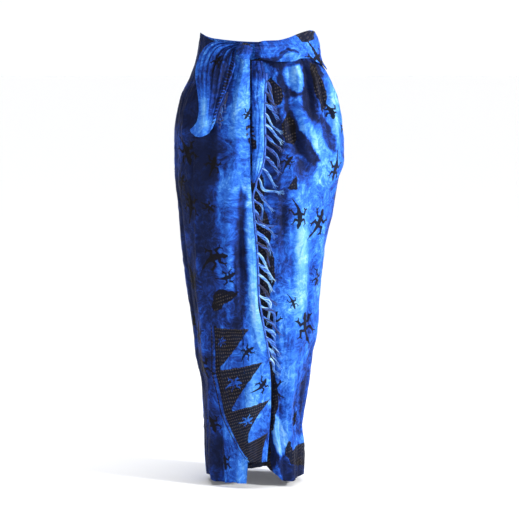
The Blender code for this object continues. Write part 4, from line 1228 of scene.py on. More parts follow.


# Materials

# Colours of the dye, from its deepest level, which painted shade reaches, to its palest
Stop = namedtuple("Stop", "at red green blue")
DYE = (
    Stop(0.00, 0.005, 0.009, 0.038),
    Stop(0.16, 0.008, 0.018, 0.085),
    Stop(0.32, 0.012, 0.045, 0.280),
    Stop(0.50, 0.020, 0.111, 0.560),
    Stop(0.66, 0.044, 0.200, 0.720),
    Stop(0.82, 0.125, 0.370, 0.830),
    Stop(1.00, 0.350, 0.620, 0.900),
)
BLACK = (0.0060, 0.0055, 0.0075)
DOT = (0.058, 0.049, 0.044)
INNER_COAT = (0.006, 0.014, 0.060)  # what dulls the inner face, and its share there
INNER_COAT_SHARE = 0.60
INNER_PRINT = 0.55  # strength of the print on the inner and on the outer face
OUTER_PRINT = 0.97
DYE_MIDDLE = 0.45  # level of the dye where its tone is 0
LEAST_MARBLING = 0.40  # share of the marbling that deep and pale fields keep
CREASE_DEPTH = 0.0085  # of the bump's creases, and the rise of its threads
WEAVE_RISE = 0.00003
# Veins of the marbling: how close they are, half width and strength, which is under 0 where they are deep
Vein = namedtuple("Vein", "scale half strength")
VEINS = (Vein(30.0, 0.075, 0.16), Vein(68.0, 0.060, 0.09), Vein(38.0, 0.100, -0.16))
# The gecko's parts as rods from one place to another, with the half width at each end, in its own lengths.
# It looks along +x, and its two sides are alike.
Limb = namedtuple("Limb", "x y half to_x to_y to_half")
GECKO = (
    Limb(0.48, 0.000, 0.030, 0.38, 0.000, 0.075),
    Limb(0.36, 0.000, 0.055, 0.25, 0.000, 0.070),
    Limb(0.25, 0.000, 0.075, 0.02, 0.000, 0.078),
    Limb(0.02, 0.000, 0.070, -0.20, 0.000, 0.036),
    Limb(-0.20, 0.000, 0.036, -0.50, 0.000, 0.012),
    Limb(0.25, 0.040, 0.042, 0.21, 0.150, 0.034),
    Limb(0.21, 0.150, 0.034, 0.33, 0.215, 0.026),
    Limb(0.33, 0.215, 0.024, 0.41, 0.195, 0.012),
    Limb(0.33, 0.215, 0.024, 0.37, 0.285, 0.012),
    Limb(0.02, 0.040, 0.046, 0.06, 0.160, 0.036),
    Limb(0.06, 0.160, 0.036, -0.08, 0.225, 0.026),
    Limb(-0.08, 0.225, 0.024, -0.16, 0.200, 0.012),
    Limb(-0.08, 0.225, 0.024, -0.12, 0.300, 0.012),
)


class Graph:
    """Adds nodes to the tree of a material or the world, and links them."""

    def __init__(self, owner, shader):
        owner.use_nodes = True
        self.tree = owner.node_tree
        self.shader = self.tree.nodes[shader]

    def fill(self, node, inputs):
        """Gives a node's inputs their values and their links."""
        for key, value in dict(inputs).items():
            if isinstance(value, bpy.types.NodeSocket):
                self.tree.links.new(value, node.inputs[key])
            else:
                node.inputs[key].default_value = value

    def node(self, kind, inputs=(), output=0, **settings):
        made = self.tree.nodes.new(kind)
        for setting, value in settings.items():
            setattr(made, setting, value)
        self.fill(made, inputs)
        return made.outputs[output]

    def attribute(self, name, output):
        return self.node("ShaderNodeAttribute", output=output, attribute_name=name)

    def parts(self, value):
        """The three parts of a vector."""
        return tuple(self.node("ShaderNodeSeparateXYZ", {0: value}).node.outputs)

    def math(self, operation, *values, clamp=False):
        return self.node("ShaderNodeMath", dict(enumerate(values)), operation=operation, use_clamp=clamp)

    def add(self, value, other):
        return self.math("ADD", value, other)

    def less(self, value, other):
        return self.math("SUBTRACT", value, other)

    def times(self, value, other):
        return self.math("MULTIPLY", value, other)

    def scaled(self, value, scale, start):
        return self.math("MULTIPLY_ADD", value, scale, start)

    def most(self, value, other):
        return self.math("MAXIMUM", value, other)

    def size(self, value):
        return self.math("ABSOLUTE", value)

    def wave(self, value, rate):
        """A sine wave with so many turns for each unit of the value."""
        return self.math("SINE", self.times(value, 2 * math.pi * rate))

    def vector(self, operation, *values, output=0):
        return self.node("ShaderNodeVectorMath", dict(enumerate(values)), output, operation=operation)

    def noise(self, place, scale, detail=2.0, roughness=0.5, distortion=0.0, output=0):
        inputs = {
            "Vector": place,
            "Scale": scale,
            "Detail": detail,
            "Roughness": roughness,
            "Distortion": distortion,
        }
        return self.node("ShaderNodeTexNoise", inputs, output)

    def unrest(self, place, scale, reach):
        """Noise of a scale, this far to each side of 0."""
        return self.scaled(self.noise(place, scale), 2 * reach, -reach)

    def smooth(self, value, low, high, start=0.0, end=1.0):
        """A soft step from one level where the value is low to another where it is high."""
        inputs = {"Value": value, "From Min": low, "From Max": high, "To Min": start, "To Max": end}
        return self.node("ShaderNodeMapRange", inputs, interpolation_type="SMOOTHSTEP")

    def blend(self, share, start, end):
        inputs = {0: share, 6: start, 7: end}
        return self.node("ShaderNodeMix", inputs, 2, data_type="RGBA")

    def bump(self, height, strength, distance):
        return self.node("ShaderNodeBump", {"Strength": strength, "Distance": distance, "Height": height})

    def ramp(self, value, stops):
        ramp = self.tree.nodes.new("ShaderNodeValToRGB")
        elements = ramp.color_ramp.elements
        while len(elements) < len(stops):
            elements.new(0.5)
        for element, stop in zip(elements, stops):
            element.position = stop.at
            element.color = (stop.red, stop.green, stop.blue, 1.0)
        self.tree.links.new(value, ramp.inputs[0])
        return ramp.outputs[0]


def surface(name):
    """A new material and the graph of its nodes."""
    material = bpy.data.materials.new(name)
    return material, Graph(material, "Principled BSDF")


def limb_distance(graph, place, limb):
    """Distance from a place to a tapered rod."""
    reach = Vector((limb.to_x - limb.x, limb.to_y - limb.y, 0.0))
    offset = graph.vector("SUBTRACT", place, (limb.x, limb.y, 0.0))
    share = graph.vector("DOT_PRODUCT", offset, tuple(reach / reach.length_squared), output=1)
    share = graph.math("ADD", share, 0.0, clamp=True)
    scaled = graph.node("ShaderNodeVectorMath", {0: tuple(reach), "Scale": share}, operation="SCALE")
    away = graph.vector("LENGTH", graph.vector("SUBTRACT", offset, scaled), output=1)
    return graph.less(away, graph.scaled(share, limb.to_half - limb.half, limb.half))


def gecko_distance(graph, motif):
    """Distance to the nearest gecko's outline in its own lengths, negative inside it, and its kind."""
    x, y, kind = graph.parts(motif)
    mirrored = graph.node("ShaderNodeCombineXYZ", {0: x, 1: graph.size(y), 2: 0.0})
    distance = None
    for limb in GECKO:
        away = limb_distance(graph, mirrored, limb)
        distance = away if distance is None else graph.math("MINIMUM", distance, away)
    return distance, kind


def vein_distance(graph, place, scale):
    """How far a place is from the nearest vein of a marbling at this scale, 0 on the vein."""
    return graph.size(graph.less(graph.noise(place, scale, 5.0, 0.60, 0.7), 0.5))


def dot_lines(graph, lines, line_rate, along, dot_rate):
    """Dots in lines: so many lines and dots for each unit of the two coordinates."""
    on_line = graph.smooth(graph.wave(lines, line_rate), 0.0, 0.6)
    return graph.times(on_line, graph.smooth(graph.wave(along, dot_rate), -0.4, 0.3))


def dye_colour(graph, place, fine):
    """The marbled dye: large clouds, pale and deep veins where it ran along crumples, and fine blotches."""
    # The tone attribute holds the dye's clouds together with painted shade and painted highlights of folds,
    # creases and the shaded left side
    tone = graph.attribute("tone", 2)
    warp = graph.noise(place, 11.0, output=1)
    shifted = graph.vector("MULTIPLY_ADD", warp, (0.07, 0.07, 0.0), place)
    elsewhere = graph.vector("ADD", shifted, (3.0, 5.0, 0.0))
    level = graph.scaled(graph.noise(shifted, 9.0, 3.0, 0.55), 1.25, -0.18)
    for vein in VEINS:
        vein_place = shifted if vein.strength > 0 else elsewhere
        on_vein = graph.smooth(vein_distance(graph, vein_place, vein.scale), vein.half, 0.0)
        level = graph.scaled(on_vein, vein.strength, level)
    level = graph.add(level, graph.scaled(fine, 0.34, -0.17))
    # Calmer in its deep and its pale fields, painted shade and highlights among them
    calm = graph.scaled(graph.size(tone), -1.4, 1.0)
    own = graph.less(level, DYE_MIDDLE)
    level = graph.scaled(own, graph.most(calm, LEAST_MARBLING), graph.add(tone, DYE_MIDDLE))
    return graph.ramp(level, DYE)


def border_share(graph, place, out, along):
    """Where the border's triangles and the band along their bases are, and the uneven place along it."""
    swayed = graph.add(along, graph.unrest(place, 60.0, 0.04))
    last = len(BORDER) - 2.0
    in_row = graph.times(graph.smooth(swayed, -0.06, -0.04), graph.smooth(swayed, last + 0.04, last))
    step = graph.math("FRACT", graph.add(swayed, 20.0))
    slope = graph.less(graph.scaled(out, TRIANGLE_SLOPE, step), TRIANGLE_SLOPE)
    triangle = graph.times(graph.smooth(slope, 0.012, -0.012), graph.smooth(out, -0.01, 0.01))
    # The band widens from row to row
    from_rim = graph.add(out, graph.scaled(graph.times(along, along), 0.034, 0.08))
    outline = graph.smooth(graph.size(graph.add(from_rim, 0.08)), 0.022, 0.008)
    base = graph.times(graph.smooth(from_rim, -0.01, 0.01), graph.smooth(out, 0.02, 0.0))
    return graph.times(graph.most(triangle, graph.most(base, outline)), in_row), swayed


def patch_share(graph, place, patch, along):
    """Where the dotted patches are, and the dashed strips, for which a value far inside an outline stands."""
    patched = graph.smooth(graph.add(patch, graph.unrest(place, 110.0, 0.002)), 0.0010, -0.0010)
    dashed = graph.smooth(patch, -0.4, -0.5)
    dashes = graph.smooth(graph.wave(along, 1.0), -0.3, 0.1)
    return graph.times(patched, graph.scaled(dashed, graph.less(dashes, 1.0), 1.0)), dashed


def print_shares(graph, place, spread):
    """Where the print is dark, and where dots lighten that."""
    out, along, patch = graph.parts(graph.attribute("printed", 1))
    border, swayed = border_share(graph, place, out, along)
    patched, dashed = patch_share(graph, place, patch, along)
    # Geckos are black on the blue, or blue where they are inside the border
    distance, kind = gecko_distance(graph, graph.attribute("motif", 1))
    gecko = graph.smooth(graph.add(distance, graph.unrest(place, 120.0, 0.03)), 0.010, -0.006)
    between_kinds = (BLACK_KIND + BLUE_KIND) / 2
    black_gecko = graph.times(gecko, graph.math("LESS_THAN", kind, between_kinds))
    blue_gecko = graph.times(gecko, graph.math("GREATER_THAN", kind, between_kinds))
    dark = graph.most(graph.most(border, patched), black_gecko)
    dark = graph.times(dark, graph.less(1.0, blue_gecko))
    # The lines of small dots follow the border's rows there, and slant over all else that is black
    slant = graph.scaled(spread[0], DOT_SLANT, spread[1])
    dots = dot_lines(graph, slant, 1 / DOT_LINES, spread[0], 1 / DOT_STEP)
    dots = graph.times(dots, graph.smooth(graph.noise(place, 60.0), 0.40, 0.56))
    border_dots = dot_lines(graph, swayed, BORDER_ROWS, out, BORDER_ROWS * 1.5)
    dots = graph.most(graph.times(dots, graph.less(1.0, border)), graph.times(border_dots, border))
    return dark, graph.times(dots, graph.less(1.0, graph.most(gecko, dashed)))


def cloth_material(name, dulled):
    """Marbled blue rayon with its print. Dulled, it is the inner face, where the print is weaker."""
    material, graph = surface(name)
    place = graph.node("ShaderNodeUVMap", uv_map="cloth")
    spread = graph.parts(graph.vector("ADD", place, (10.0, 10.0, 0.0)))
    fine = graph.noise(place, 130.0, 4.0, 0.65)
    dark, dots = print_shares(graph, place, spread)
    black = graph.blend(dots, (*BLACK, 1.0), (*DOT, 1.0))
    depth = graph.times(dark, INNER_PRINT if dulled else OUTER_PRINT)
    colour = graph.blend(depth, dye_colour(graph, place, fine), black)
    if dulled:
        colour = graph.blend(INNER_COAT_SHARE, colour, (*INNER_COAT, 1.0))

    # Weave and the fine crumples that thin rayon keeps
    weave = graph.times(graph.wave(spread[0], 1 / THREAD), graph.wave(spread[1], 1 / THREAD))
    creases = graph.size(graph.less(graph.noise(place, 55.0, 5.0, 0.6, 1.5), 0.5))
    height = graph.scaled(creases, -CREASE_DEPTH, graph.times(weave, WEAVE_RISE))
    inputs = {
        "Base Color": colour,
        "Normal": graph.bump(height, 0.55, 1.0),
        "Roughness": graph.scaled(fine, 0.18, 0.60 if dulled else 0.44),
        "Specular IOR Level": 0.06,
        "Sheen Weight": 0.012,
        "Sheen Roughness": 0.45,
    }
    graph.fill(graph.shader, inputs)
    return material


def yarn_material():
    """Twisted rayon yarn: pale blue to navy, each tassel its own share of the dye."""
    material, graph = surface("fringe_yarn")
    place = graph.node("ShaderNodeUVMap", uv_map="cloth")
    blotches = graph.scaled(graph.noise(place, 60.0, 3.0, 0.6), 0.9, -0.45)
    level = graph.add(blotches, graph.attribute("tone", 2))
    x, y, _ = graph.parts(place)
    fibres = graph.wave(graph.scaled(x, 2.0, y), 1 / YARN_TWIST)
    inputs = {
        "Base Color": graph.ramp(level, DYE),
        "Normal": graph.bump(fibres, 0.6, 0.0004),
        "Roughness": 0.62,
        "Sheen Weight": 0.15,
    }
    graph.fill(graph.shader, inputs)
    return material


cloth_outer = cloth_material("marbled_cloth", False)
cloth_inner = cloth_material("marbled_cloth_inside", True)
yarn = yarn_material()
CLOTH = (cloth_outer, cloth_inner)

# Pieces

HIDDEN_END = -12.0  # angle up to which the left front panel hides the under layer
HIDDEN_RAMP = 8.0  # degrees over which the hidden cloth sinks
HIDDEN_SINK = 0.0035  # by which it then lies further in, clear of the panel over it
EDGE_DEGREE = 0.003  # metres round the cloth for a degree at the free edge
# Columns of the wound cloth by angle, closest where it shows most
Stretch = namedtuple("Stretch", "start end step")
WRAP_COLUMNS = (
    Stretch(UNDER_START, HIDDEN_END, 6.0),
    Stretch(HIDDEN_END, 84, 0.92),
    Stretch(84, 272, 2.5),
    Stretch(272, 342, 1.05),
    Stretch(342, 360, 0.50),
)
WRAP_ROWS = 150
# Rows and columns of the other pieces
TAIL_GRID = (104, 56)
BAND_GRID = (46, 170)
CENTRE_TAIL_GRID = (150, 26)
KNOT_GRID = (48, 72)
KNOT_PRINT_SPAN = 0.1  # degrees of the print for each degree round the knot


def wrap():
    """The wound cloth from its hidden start to its free edge, as one fine sheet."""
    places = [np.arange(part.start, part.end - part.step / 2, part.step) for part in WRAP_COLUMNS]
    station = np.append(np.concatenate(places), 360.0)
    down = (np.arange(WRAP_ROWS + 1) / WRAP_ROWS)[:, None]
    share = np.maximum(station - LEFT_SIDE, 0)[None, :] / (360 - LEFT_SIDE)
    angle = np.broadcast_to(station[None, :], (WRAP_ROWS + 1, len(station))).copy()
    # The edge's angle depends on the drop, and the hem's drop on the angle: both are found step by step
    for _ in range(6):
        drop = drop_at(angle, down)
        angle = np.where(share > 0, mix(LEFT_SIDE, free_edge_angle(drop), share), station[None, :])
    hidden = ease((HIDDEN_END - angle) / HIDDEN_RAMP)
    points = cloth(angle, drop, fine_rise(angle, drop) - HIDDEN_SINK * hidden)
    from_edge = np.abs(free_edge_angle(drop) - angle) * EDGE_DEGREE
    above_hem = LENGTH - column(HEM_EDGE, "height", angle) - drop
    piece = shell(
        "wrap_cloth",
        points,
        angle,
        drop,
        thickness=rolled(CLOTH_THICKNESS, [above_hem, from_edge]),
        geckos=front_places(LEFT_GECKOS, "over") + front_places(RIGHT_GECKOS, "under") + list(BACK_GECKOS),
        blue_geckos=front_places(BLUE_GECKOS, "over"),
        border=True,
    )
    paint_wrap(piece, points, angle, drop)
    return piece


def fold_shading_tone(angle, drop):
    """Painted shade in the folds' troughs and painted highlights on their ridges, added to the tone."""
    rise = layered_rise(LEFT_FOLDS, RIGHT_FOLDS, BACK_FOLDS, angle, drop)
    small = layered_rise(FINE_LEFT, FINE_RIGHT, FINE_BACK, angle, drop)
    small_tone = np.clip(small * CREASE_SHADING_TONE, *CREASE_SHADING_LIMITS)
    return np.clip(rise * FOLD_SHADING_TONE, *FOLD_SHADING_LIMITS) + small_tone


def paint_wrap(piece, points, angle, drop):
    """The wrap's patches, clouds and painted shade and highlights, which differ on its two layers at the
    front; all but the folds' painted shade and highlights end at its sides.
    """
    across = points[..., 0]
    left = angle > LEFT_SIDE
    face = np.cos(np.radians(angle))
    left_distance = patch_distance(across, drop, LEFT_PATCHES)
    right_distance = patch_distance(across, drop, UNDER_PATCHES)
    past_side = -PATCH_SIDE_DEPTH * face
    for reach, length in PATCH_SIDE_WAVES:
        past_side = past_side + reach * np.sin(drop / length)
    distance = np.maximum(np.where(left, left_distance, right_distance), past_side)
    left_tone = tone_with_painted_light(across, drop, LEFT_CLOUDS, LEFT_SHADES)
    right_tone = tone_with_painted_light(across, drop, RIGHT_CLOUDS, RIGHT_SHADES)
    tone = np.where(left, left_tone, right_tone)
    # Painted shade and highlights of the folds join the tone here
    tone = np.clip(tone * eased(TONE_SIDES, face) + fold_shading_tone(angle, drop), -MOST_TONE, MOST_TONE)
    values = np.zeros(len(piece.data.vertices) * 3)
    printed = piece.data.attributes["printed"]
    printed.data.foreach_get("vector", values)
    values = values.reshape(-1, 3)
    values[:, 2] = np.tile(distance.ravel(), 2)
    printed.data.foreach_set("vector", values.ravel())
    piece.data.attributes["tone"].data.foreach_set("value", np.tile(tone.ravel(), 2))


def grid_shares(rows, columns):
    """Shares across and down a grid of so many rows and columns."""
    down = (np.arange(rows + 1) / rows)[:, None] * np.ones((1, columns + 1))
    across = (np.arange(columns + 1) / columns)[None, :] * np.ones((rows + 1, 1))
    return across, down


def tail_place(across, down):
    """Place across, drop and rise of the left tail at shares of its width and length."""
    x = mix(column(LEFT_TAIL, "left", down), column(LEFT_TAIL, "right", down), across)
    height = mix(column(LEFT_TAIL, "left_height", down), column(LEFT_TAIL, "right_height", down), across)
    drop = TAIL_BULGE * 4 * across * (1 - across) * np.maximum(down, 0) ** 3 - height
    puff = column(LEFT_TAIL, "puff", down) * np.sin(np.pi * mix(*TAIL_ARCH, across))
    fade = 1 - ease(down / TAIL_GATHER_END)
    gathers = TAIL_GATHER_RISE * np.cos(2 * np.pi * TAIL_GATHERS * across) * fade
    below = highest_near(top_rise, x, drop, TAIL_SPAN)
    return x, drop, np.maximum(puff + gathers, 0) + below + PILE_CLEAR


def left_tail():
    """The leaf-shaped tie end: fine gathers that run out from the knot, and a thick speckled hem."""
    across, down = grid_shares(*TAIL_GRID)
    down = mix(LEFT_TAIL[0].share, LEFT_TAIL[-1].share, down)
    x, drop, rise = tail_place(across, np.maximum(down, LEFT_TAIL[0].share + 0.0001))
    fan = across + sway_sum(TAIL_SWAYS, down)
    gathers = wave_sum(TAIL_WAVES, fan) * (1 - eased(TAIL_WAVES_FADE, down))
    hem = TAIL_HEM_RISE * eased(TAIL_HEM_INNER, across) * (1 - eased(TAIL_HEM_OUTER, across))
    groove = -TAIL_GROOVE.depth * np.exp(-(((across - TAIL_GROOVE.at) / TAIL_GROOVE.half) ** 2))
    rise = rise + gathers + hem + groove + crumple(x, drop, *TAIL_CRUMPLES)
    points = on_front(x, drop, rise)
    print_of_it = {"geckos": TAIL_GECKOS, "clouds": TAIL_CLOUDS}
    piece = shell("left_tail_cloth", points, front_angle(x, drop), drop, **print_of_it)
    # Painted highlights on the gathers' ridges and painted shade between them, fading towards the tail's end
    gather_shading = wave_sum(TAIL_GATHER_SHADING, fan) + TAIL_MEAN_TONE
    add_tone(piece, gather_shading * (1 - eased(TAIL_TONES_FADE, down)))
    # The hem's strip, dashed along its length
    off = np.abs(across - TAIL_HEM.middle) - TAIL_HEM.half
    strip = np.where(off < 0, DASHED, BESIDE_DASHES)
    strip = np.where((down < TAIL_HEM_ENDS.start) | (down > TAIL_HEM_ENDS.end), NOWHERE, strip)
    dashes = down * TAIL_LENGTH / TAIL_HEM.dash
    printed = np.stack([np.full(strip.shape, -NOWHERE), dashes, strip], axis=-1).reshape(-1, 3)
    piece.data.attributes["printed"].data.foreach_set("vector", np.tile(printed, (2, 1)).ravel())
    return piece


def band_creases(across, down):
    """Fine creases that fan out along the band, and the deep one that parts its rolls."""
    creases = np.zeros(across.shape)
    for crease in BAND_CREASES:
        turns = crease.count * down + crease.turn * across
        creases += crease.rise * np.cos(2 * np.pi * turns + crease.phase) * ease(crease.end - across)
    split_at = SPLIT_AT + SPLIT_CLIMB * ease(1 - across / SPLIT_CLIMB_END)
    split = SPLIT_DEPTH * np.exp(-(((down - split_at) / SPLIT_HALF) ** 2))
    ends = ease(across / SPLIT_STARTED) * (1 - eased(SPLIT_FADE, across))
    return creases - split * ends


def waist_band():
    """The gathered corner from the knot to past the right side, with rolls and with creases that fan out."""
    across, down = grid_shares(*BAND_GRID)
    angle = mix(WAIST_BAND[0].angle, WAIST_BAND[-1].angle, across)
    drop = -mix(column(WAIST_BAND, "top", angle), column(WAIST_BAND, "bottom", angle), down)
    puff = column(WAIST_BAND, "puff", angle)
    arch = puff * np.sin(np.pi * mix(*BAND_ARCH, down))
    turns = BAND_ROLLS * down + BAND_ROLL_TURN * across
    rolls = BAND_ROLL_RISE * ease(puff / FULL_PUFF) * np.cos(2 * np.pi * turns)
    below = highest_near(right_rise, angle, drop, BAND_SPAN)
    clear = mix(BAND_CLEAR, BAND_END_CLEAR, eased(BAND_SMOOTH, angle))
    rise = np.maximum(arch + rolls, below + clear + LEAST_ARCH * arch)
    rise = rise + band_creases(across, down) + crumple(around(angle), drop, *BAND_CRUMPLES)
    points, outward = ring(angle, drop)
    points = points + outward * rise[..., None]
    print_of_it = {"geckos": BAND_GECKOS, "patches": BAND_PATCHES, "clouds": BAND_CLOUDS}
    piece = shell("waist_band_cloth", points, angle, drop, **print_of_it)
    # Painted shade and highlights of the band's crease, rolls and the place beside the knot
    add_tone(piece, shade_tone(points[..., 0], drop, BAND_SHADES))
    return piece


def edge_rise(drop):
    """Rise of the left front panel at its free edge."""
    return left_rise(free_edge_angle(drop), drop)


def centre_tail():
    """The narrow tie end beside the free edge: gathered lengthwise and crumpled."""
    across, down = grid_shares(*CENTRE_TAIL_GRID)
    drop = mix(CENTRE_TAIL[0].drop, CENTRE_TAIL[-1].drop, down)
    x = mix(column(CENTRE_TAIL, "left", drop), column(CENTRE_TAIL, "right", drop), across)
    puff = column(CENTRE_TAIL, "puff", drop) * np.sin(np.pi * across) ** CENTRE_TAIL_ROUNDNESS
    lines = across + sway_sum(CENTRE_TAIL_SWAYS, down)
    small = wave_sum(CENTRE_TAIL_WAVES, lines) + crumple(x, drop, *CENTRE_TAIL_CRUMPLES)
    rise = edge_rise(drop) - CENTRE_TAIL_TUCK * (1 - across) + puff
    points = on_front(x, drop, rise + np.sin(np.pi * across) ** 0.5 * small)
    print_of_it = {"patches": EDGE_MOTIF, "clouds": CENTRE_CLOUDS}
    piece = shell("centre_tail_cloth", points, front_angle(x, drop), drop, **print_of_it)
    # Painted shade on its deep side and a painted highlight on its bright edge; its upper end is darker
    add_tone(piece, shade_tone(x, drop, CENTRE_SHADES))
    return piece


def knot():
    """The wrapped gather where the corners are tied, with deep grooves between its wraps."""
    across, down = grid_shares(*KNOT_GRID)
    turn = 2 * np.pi * across
    tilt = mix(KNOT_POLE, np.pi - KNOT_POLE, down)
    x = np.sin(tilt) * np.sin(turn)
    y = -np.sin(tilt) * np.cos(turn)
    z = np.cos(tilt)
    tilted = x * math.cos(KNOT_TILT) - z * math.sin(KNOT_TILT)
    wave = tilted + sway_sum(KNOT_SWAYS, z)
    groove = 1 - KNOT_GROOVE * (0.5 + 0.5 * np.sin(tilt) * np.cos(np.pi * KNOT_GATHERS * wave))
    groove = groove - np.sin(tilt) * wave_sum(KNOT_WAVES, wave)
    centre = cloth(np.array(KNOT_ANGLE), np.array(KNOT_DROP), np.array(KNOT_LIFT))
    flattened = np.stack([x, y, np.where(z > 0, KNOT_TOP, 1.0) * z], axis=-1)
    points = centre + flattened * np.array(KNOT_HALF) * groove[..., None]
    angle = np.degrees(turn) * KNOT_PRINT_SPAN + KNOT_ANGLE - 360
    # Its patch is a painted shadow in the opening between the wraps
    return shell("knot_cloth", points, angle, -points[..., 2], patches=KNOT_PAINTED_SHADOW, clouds=KNOT_CLOUDS)


# Fringe

TAIL_TRIM = 0.7  # share of the tail's tassels that is left where they are worn short
FRONT_TONES = (0.20, 0.95)  # between which the dye of each fringe's tassels lies
TAIL_TONES = (0.10, 0.50)
STRIP_TONE = 0.4  # share of the way between those two at which the strips' dye lies
TASSEL_CURL = 0.016
TASSEL_CURL_RATES = Span(2.0, 5.5)
TASSEL_START = -0.04  # share of its length by which a tassel starts inside its strip
TASSEL_TAPER = 0.25
TASSEL_SWELL = 0.12
PLIES = 4
PLY_SIDES = 7
PLY_STEPS = 16
PLY_WIDTHS = Span(0.75, 1.2)  # shares of the tassel's usual width
PLY_HALF = 0.36  # half width of a ply, as a share of the tassel's
PLY_TURNS = Span(0.9, 1.9)
PLY_REACH = 0.46  # from the tassel's line to a ply, as a share of the tassel's half width
LOOP_REACH = 0.55  # what loops and the opening at the end add to it
OPENING_REACH = 0.6
PLY_FLATNESS = 0.7
PLY_LOOPS = Span(0.2, 1.3)  # how far the plies stand apart on the way
PLY_LOOPS_END = 0.8  # share of the tassel's length by which they have met again
PLY_OPENING = Span(0.6, 1.0)  # shares of the tassel's length over which its plies part
PLY_TONE = 0.25  # how far the dye of one ply differs from the tassel's
ENDS = 6  # loose ends of a tassel
END_STEPS = 6
END_HALF = 0.0006
END_LENGTHS = Span(0.08, 0.17)  # shares of the tassel's length
END_HIDDEN = 0.19  # share of it by which they start inside the tassel
END_STATION = -4  # where along the tassel's line that is
END_SPREAD = 0.9
END_TONES = Span(-0.05, 0.15)


def tube(path, outs, half, sides):
    """Rings of points round a path, whose half widths change along it."""
    along = unit(np.gradient(path, axis=0))
    side = unit(np.cross(along, outs))
    up = np.cross(side, along)
    turn = np.linspace(0, 2 * np.pi, sides, endpoint=False)
    round_it = side[:, None, :] * np.cos(turn)[None, :, None] + up[:, None, :] * np.sin(turn)[None, :, None]
    return path[:, None, :] + round_it * half[:, None, None]


class Strands:
    """Gathers tubes and strips into one mesh, with the places and tones of their yarn."""

    def __init__(self):
        self.points, self.quads, self.caps, self.places, self.tones = [], [], [], [], []

    def add(self, rings, tone, start):
        steps, sides = rings.shape[:2]
        tone = np.broadcast_to(tone, steps)
        first = len(self.points)
        self.points.extend(rings.reshape(-1, 3).tolist())
        strides = np.linalg.norm(np.diff(rings.mean(axis=1), axis=0), axis=1)
        lengths = np.concatenate([[0], np.cumsum(strides)])
        for step in range(steps):
            for side in range(sides):
                self.places.append((start + 0.001 * side, lengths[step]))
                self.tones.append(tone[step])
        for step in range(steps - 1):
            for side in range(sides):
                a, b = first + step * sides + side, first + step * sides + (side + 1) % sides
                self.quads.append((a, b, b + sides, a + sides))
        self.caps.append(tuple(range(first, first + sides))[::-1])
        self.caps.append(tuple(range(first + (steps - 1) * sides, first + steps * sides)))

    def build(self, name):
        mesh = bpy.data.meshes.new(name)
        mesh.from_pydata(self.points, [], self.quads + self.caps)
        mesh.shade_smooth()
        mesh.materials.append(yarn)
        loops = np.zeros(len(mesh.loops), np.int32)
        mesh.loops.foreach_get("vertex_index", loops)
        places = np.array(self.places)[loops]
        mesh.uv_layers.new(name="cloth").data.foreach_set("uv", places.ravel())
        store(mesh, "tone", "FLOAT", "POINT", np.array(self.tones, float))
        return linked(name, mesh)


def fringe(name, root, count, length, width, lean, tones):
    """The strip, and from every second stretch of it a tassel whose plies twist and part at the end."""
    rng = random.Random(TASSEL_SEED)
    looks = random.Random(TASSEL_SEED + 1)
    strands = Strands()
    stations = []
    for index in range(2 * count + 1):
        x, drop, rise = root(index / (2 * count))
        corners = [(x, rise), (x + STRIP_WIDTH, rise)]
        corners += [(x + STRIP_WIDTH, rise + STRIP_THICKNESS), (x, rise + STRIP_THICKNESS)]
        stations.append([on_front(np.array(at), np.array(drop), np.array(out)) for at, out in corners])
    strands.add(np.array(stations)[:, ::-1], mix(*tones, STRIP_TONE), 0.0)
    for index in range(1, 2 * count, 2):
        x, drop, rise = root((index + 0.5) / (2 * count))
        start = (x + STRIP_WIDTH, drop, rise + STRIP_THICKNESS / 2)
        own_length = length * rng.uniform(*TASSEL_LENGTHS)
        own_lean = lean * rng.uniform(*TASSEL_LEANS)
        tassel(strands, rng, looks, start, own_length, width, own_lean, mix(*tones, looks.random()))
    return strands.build(name)


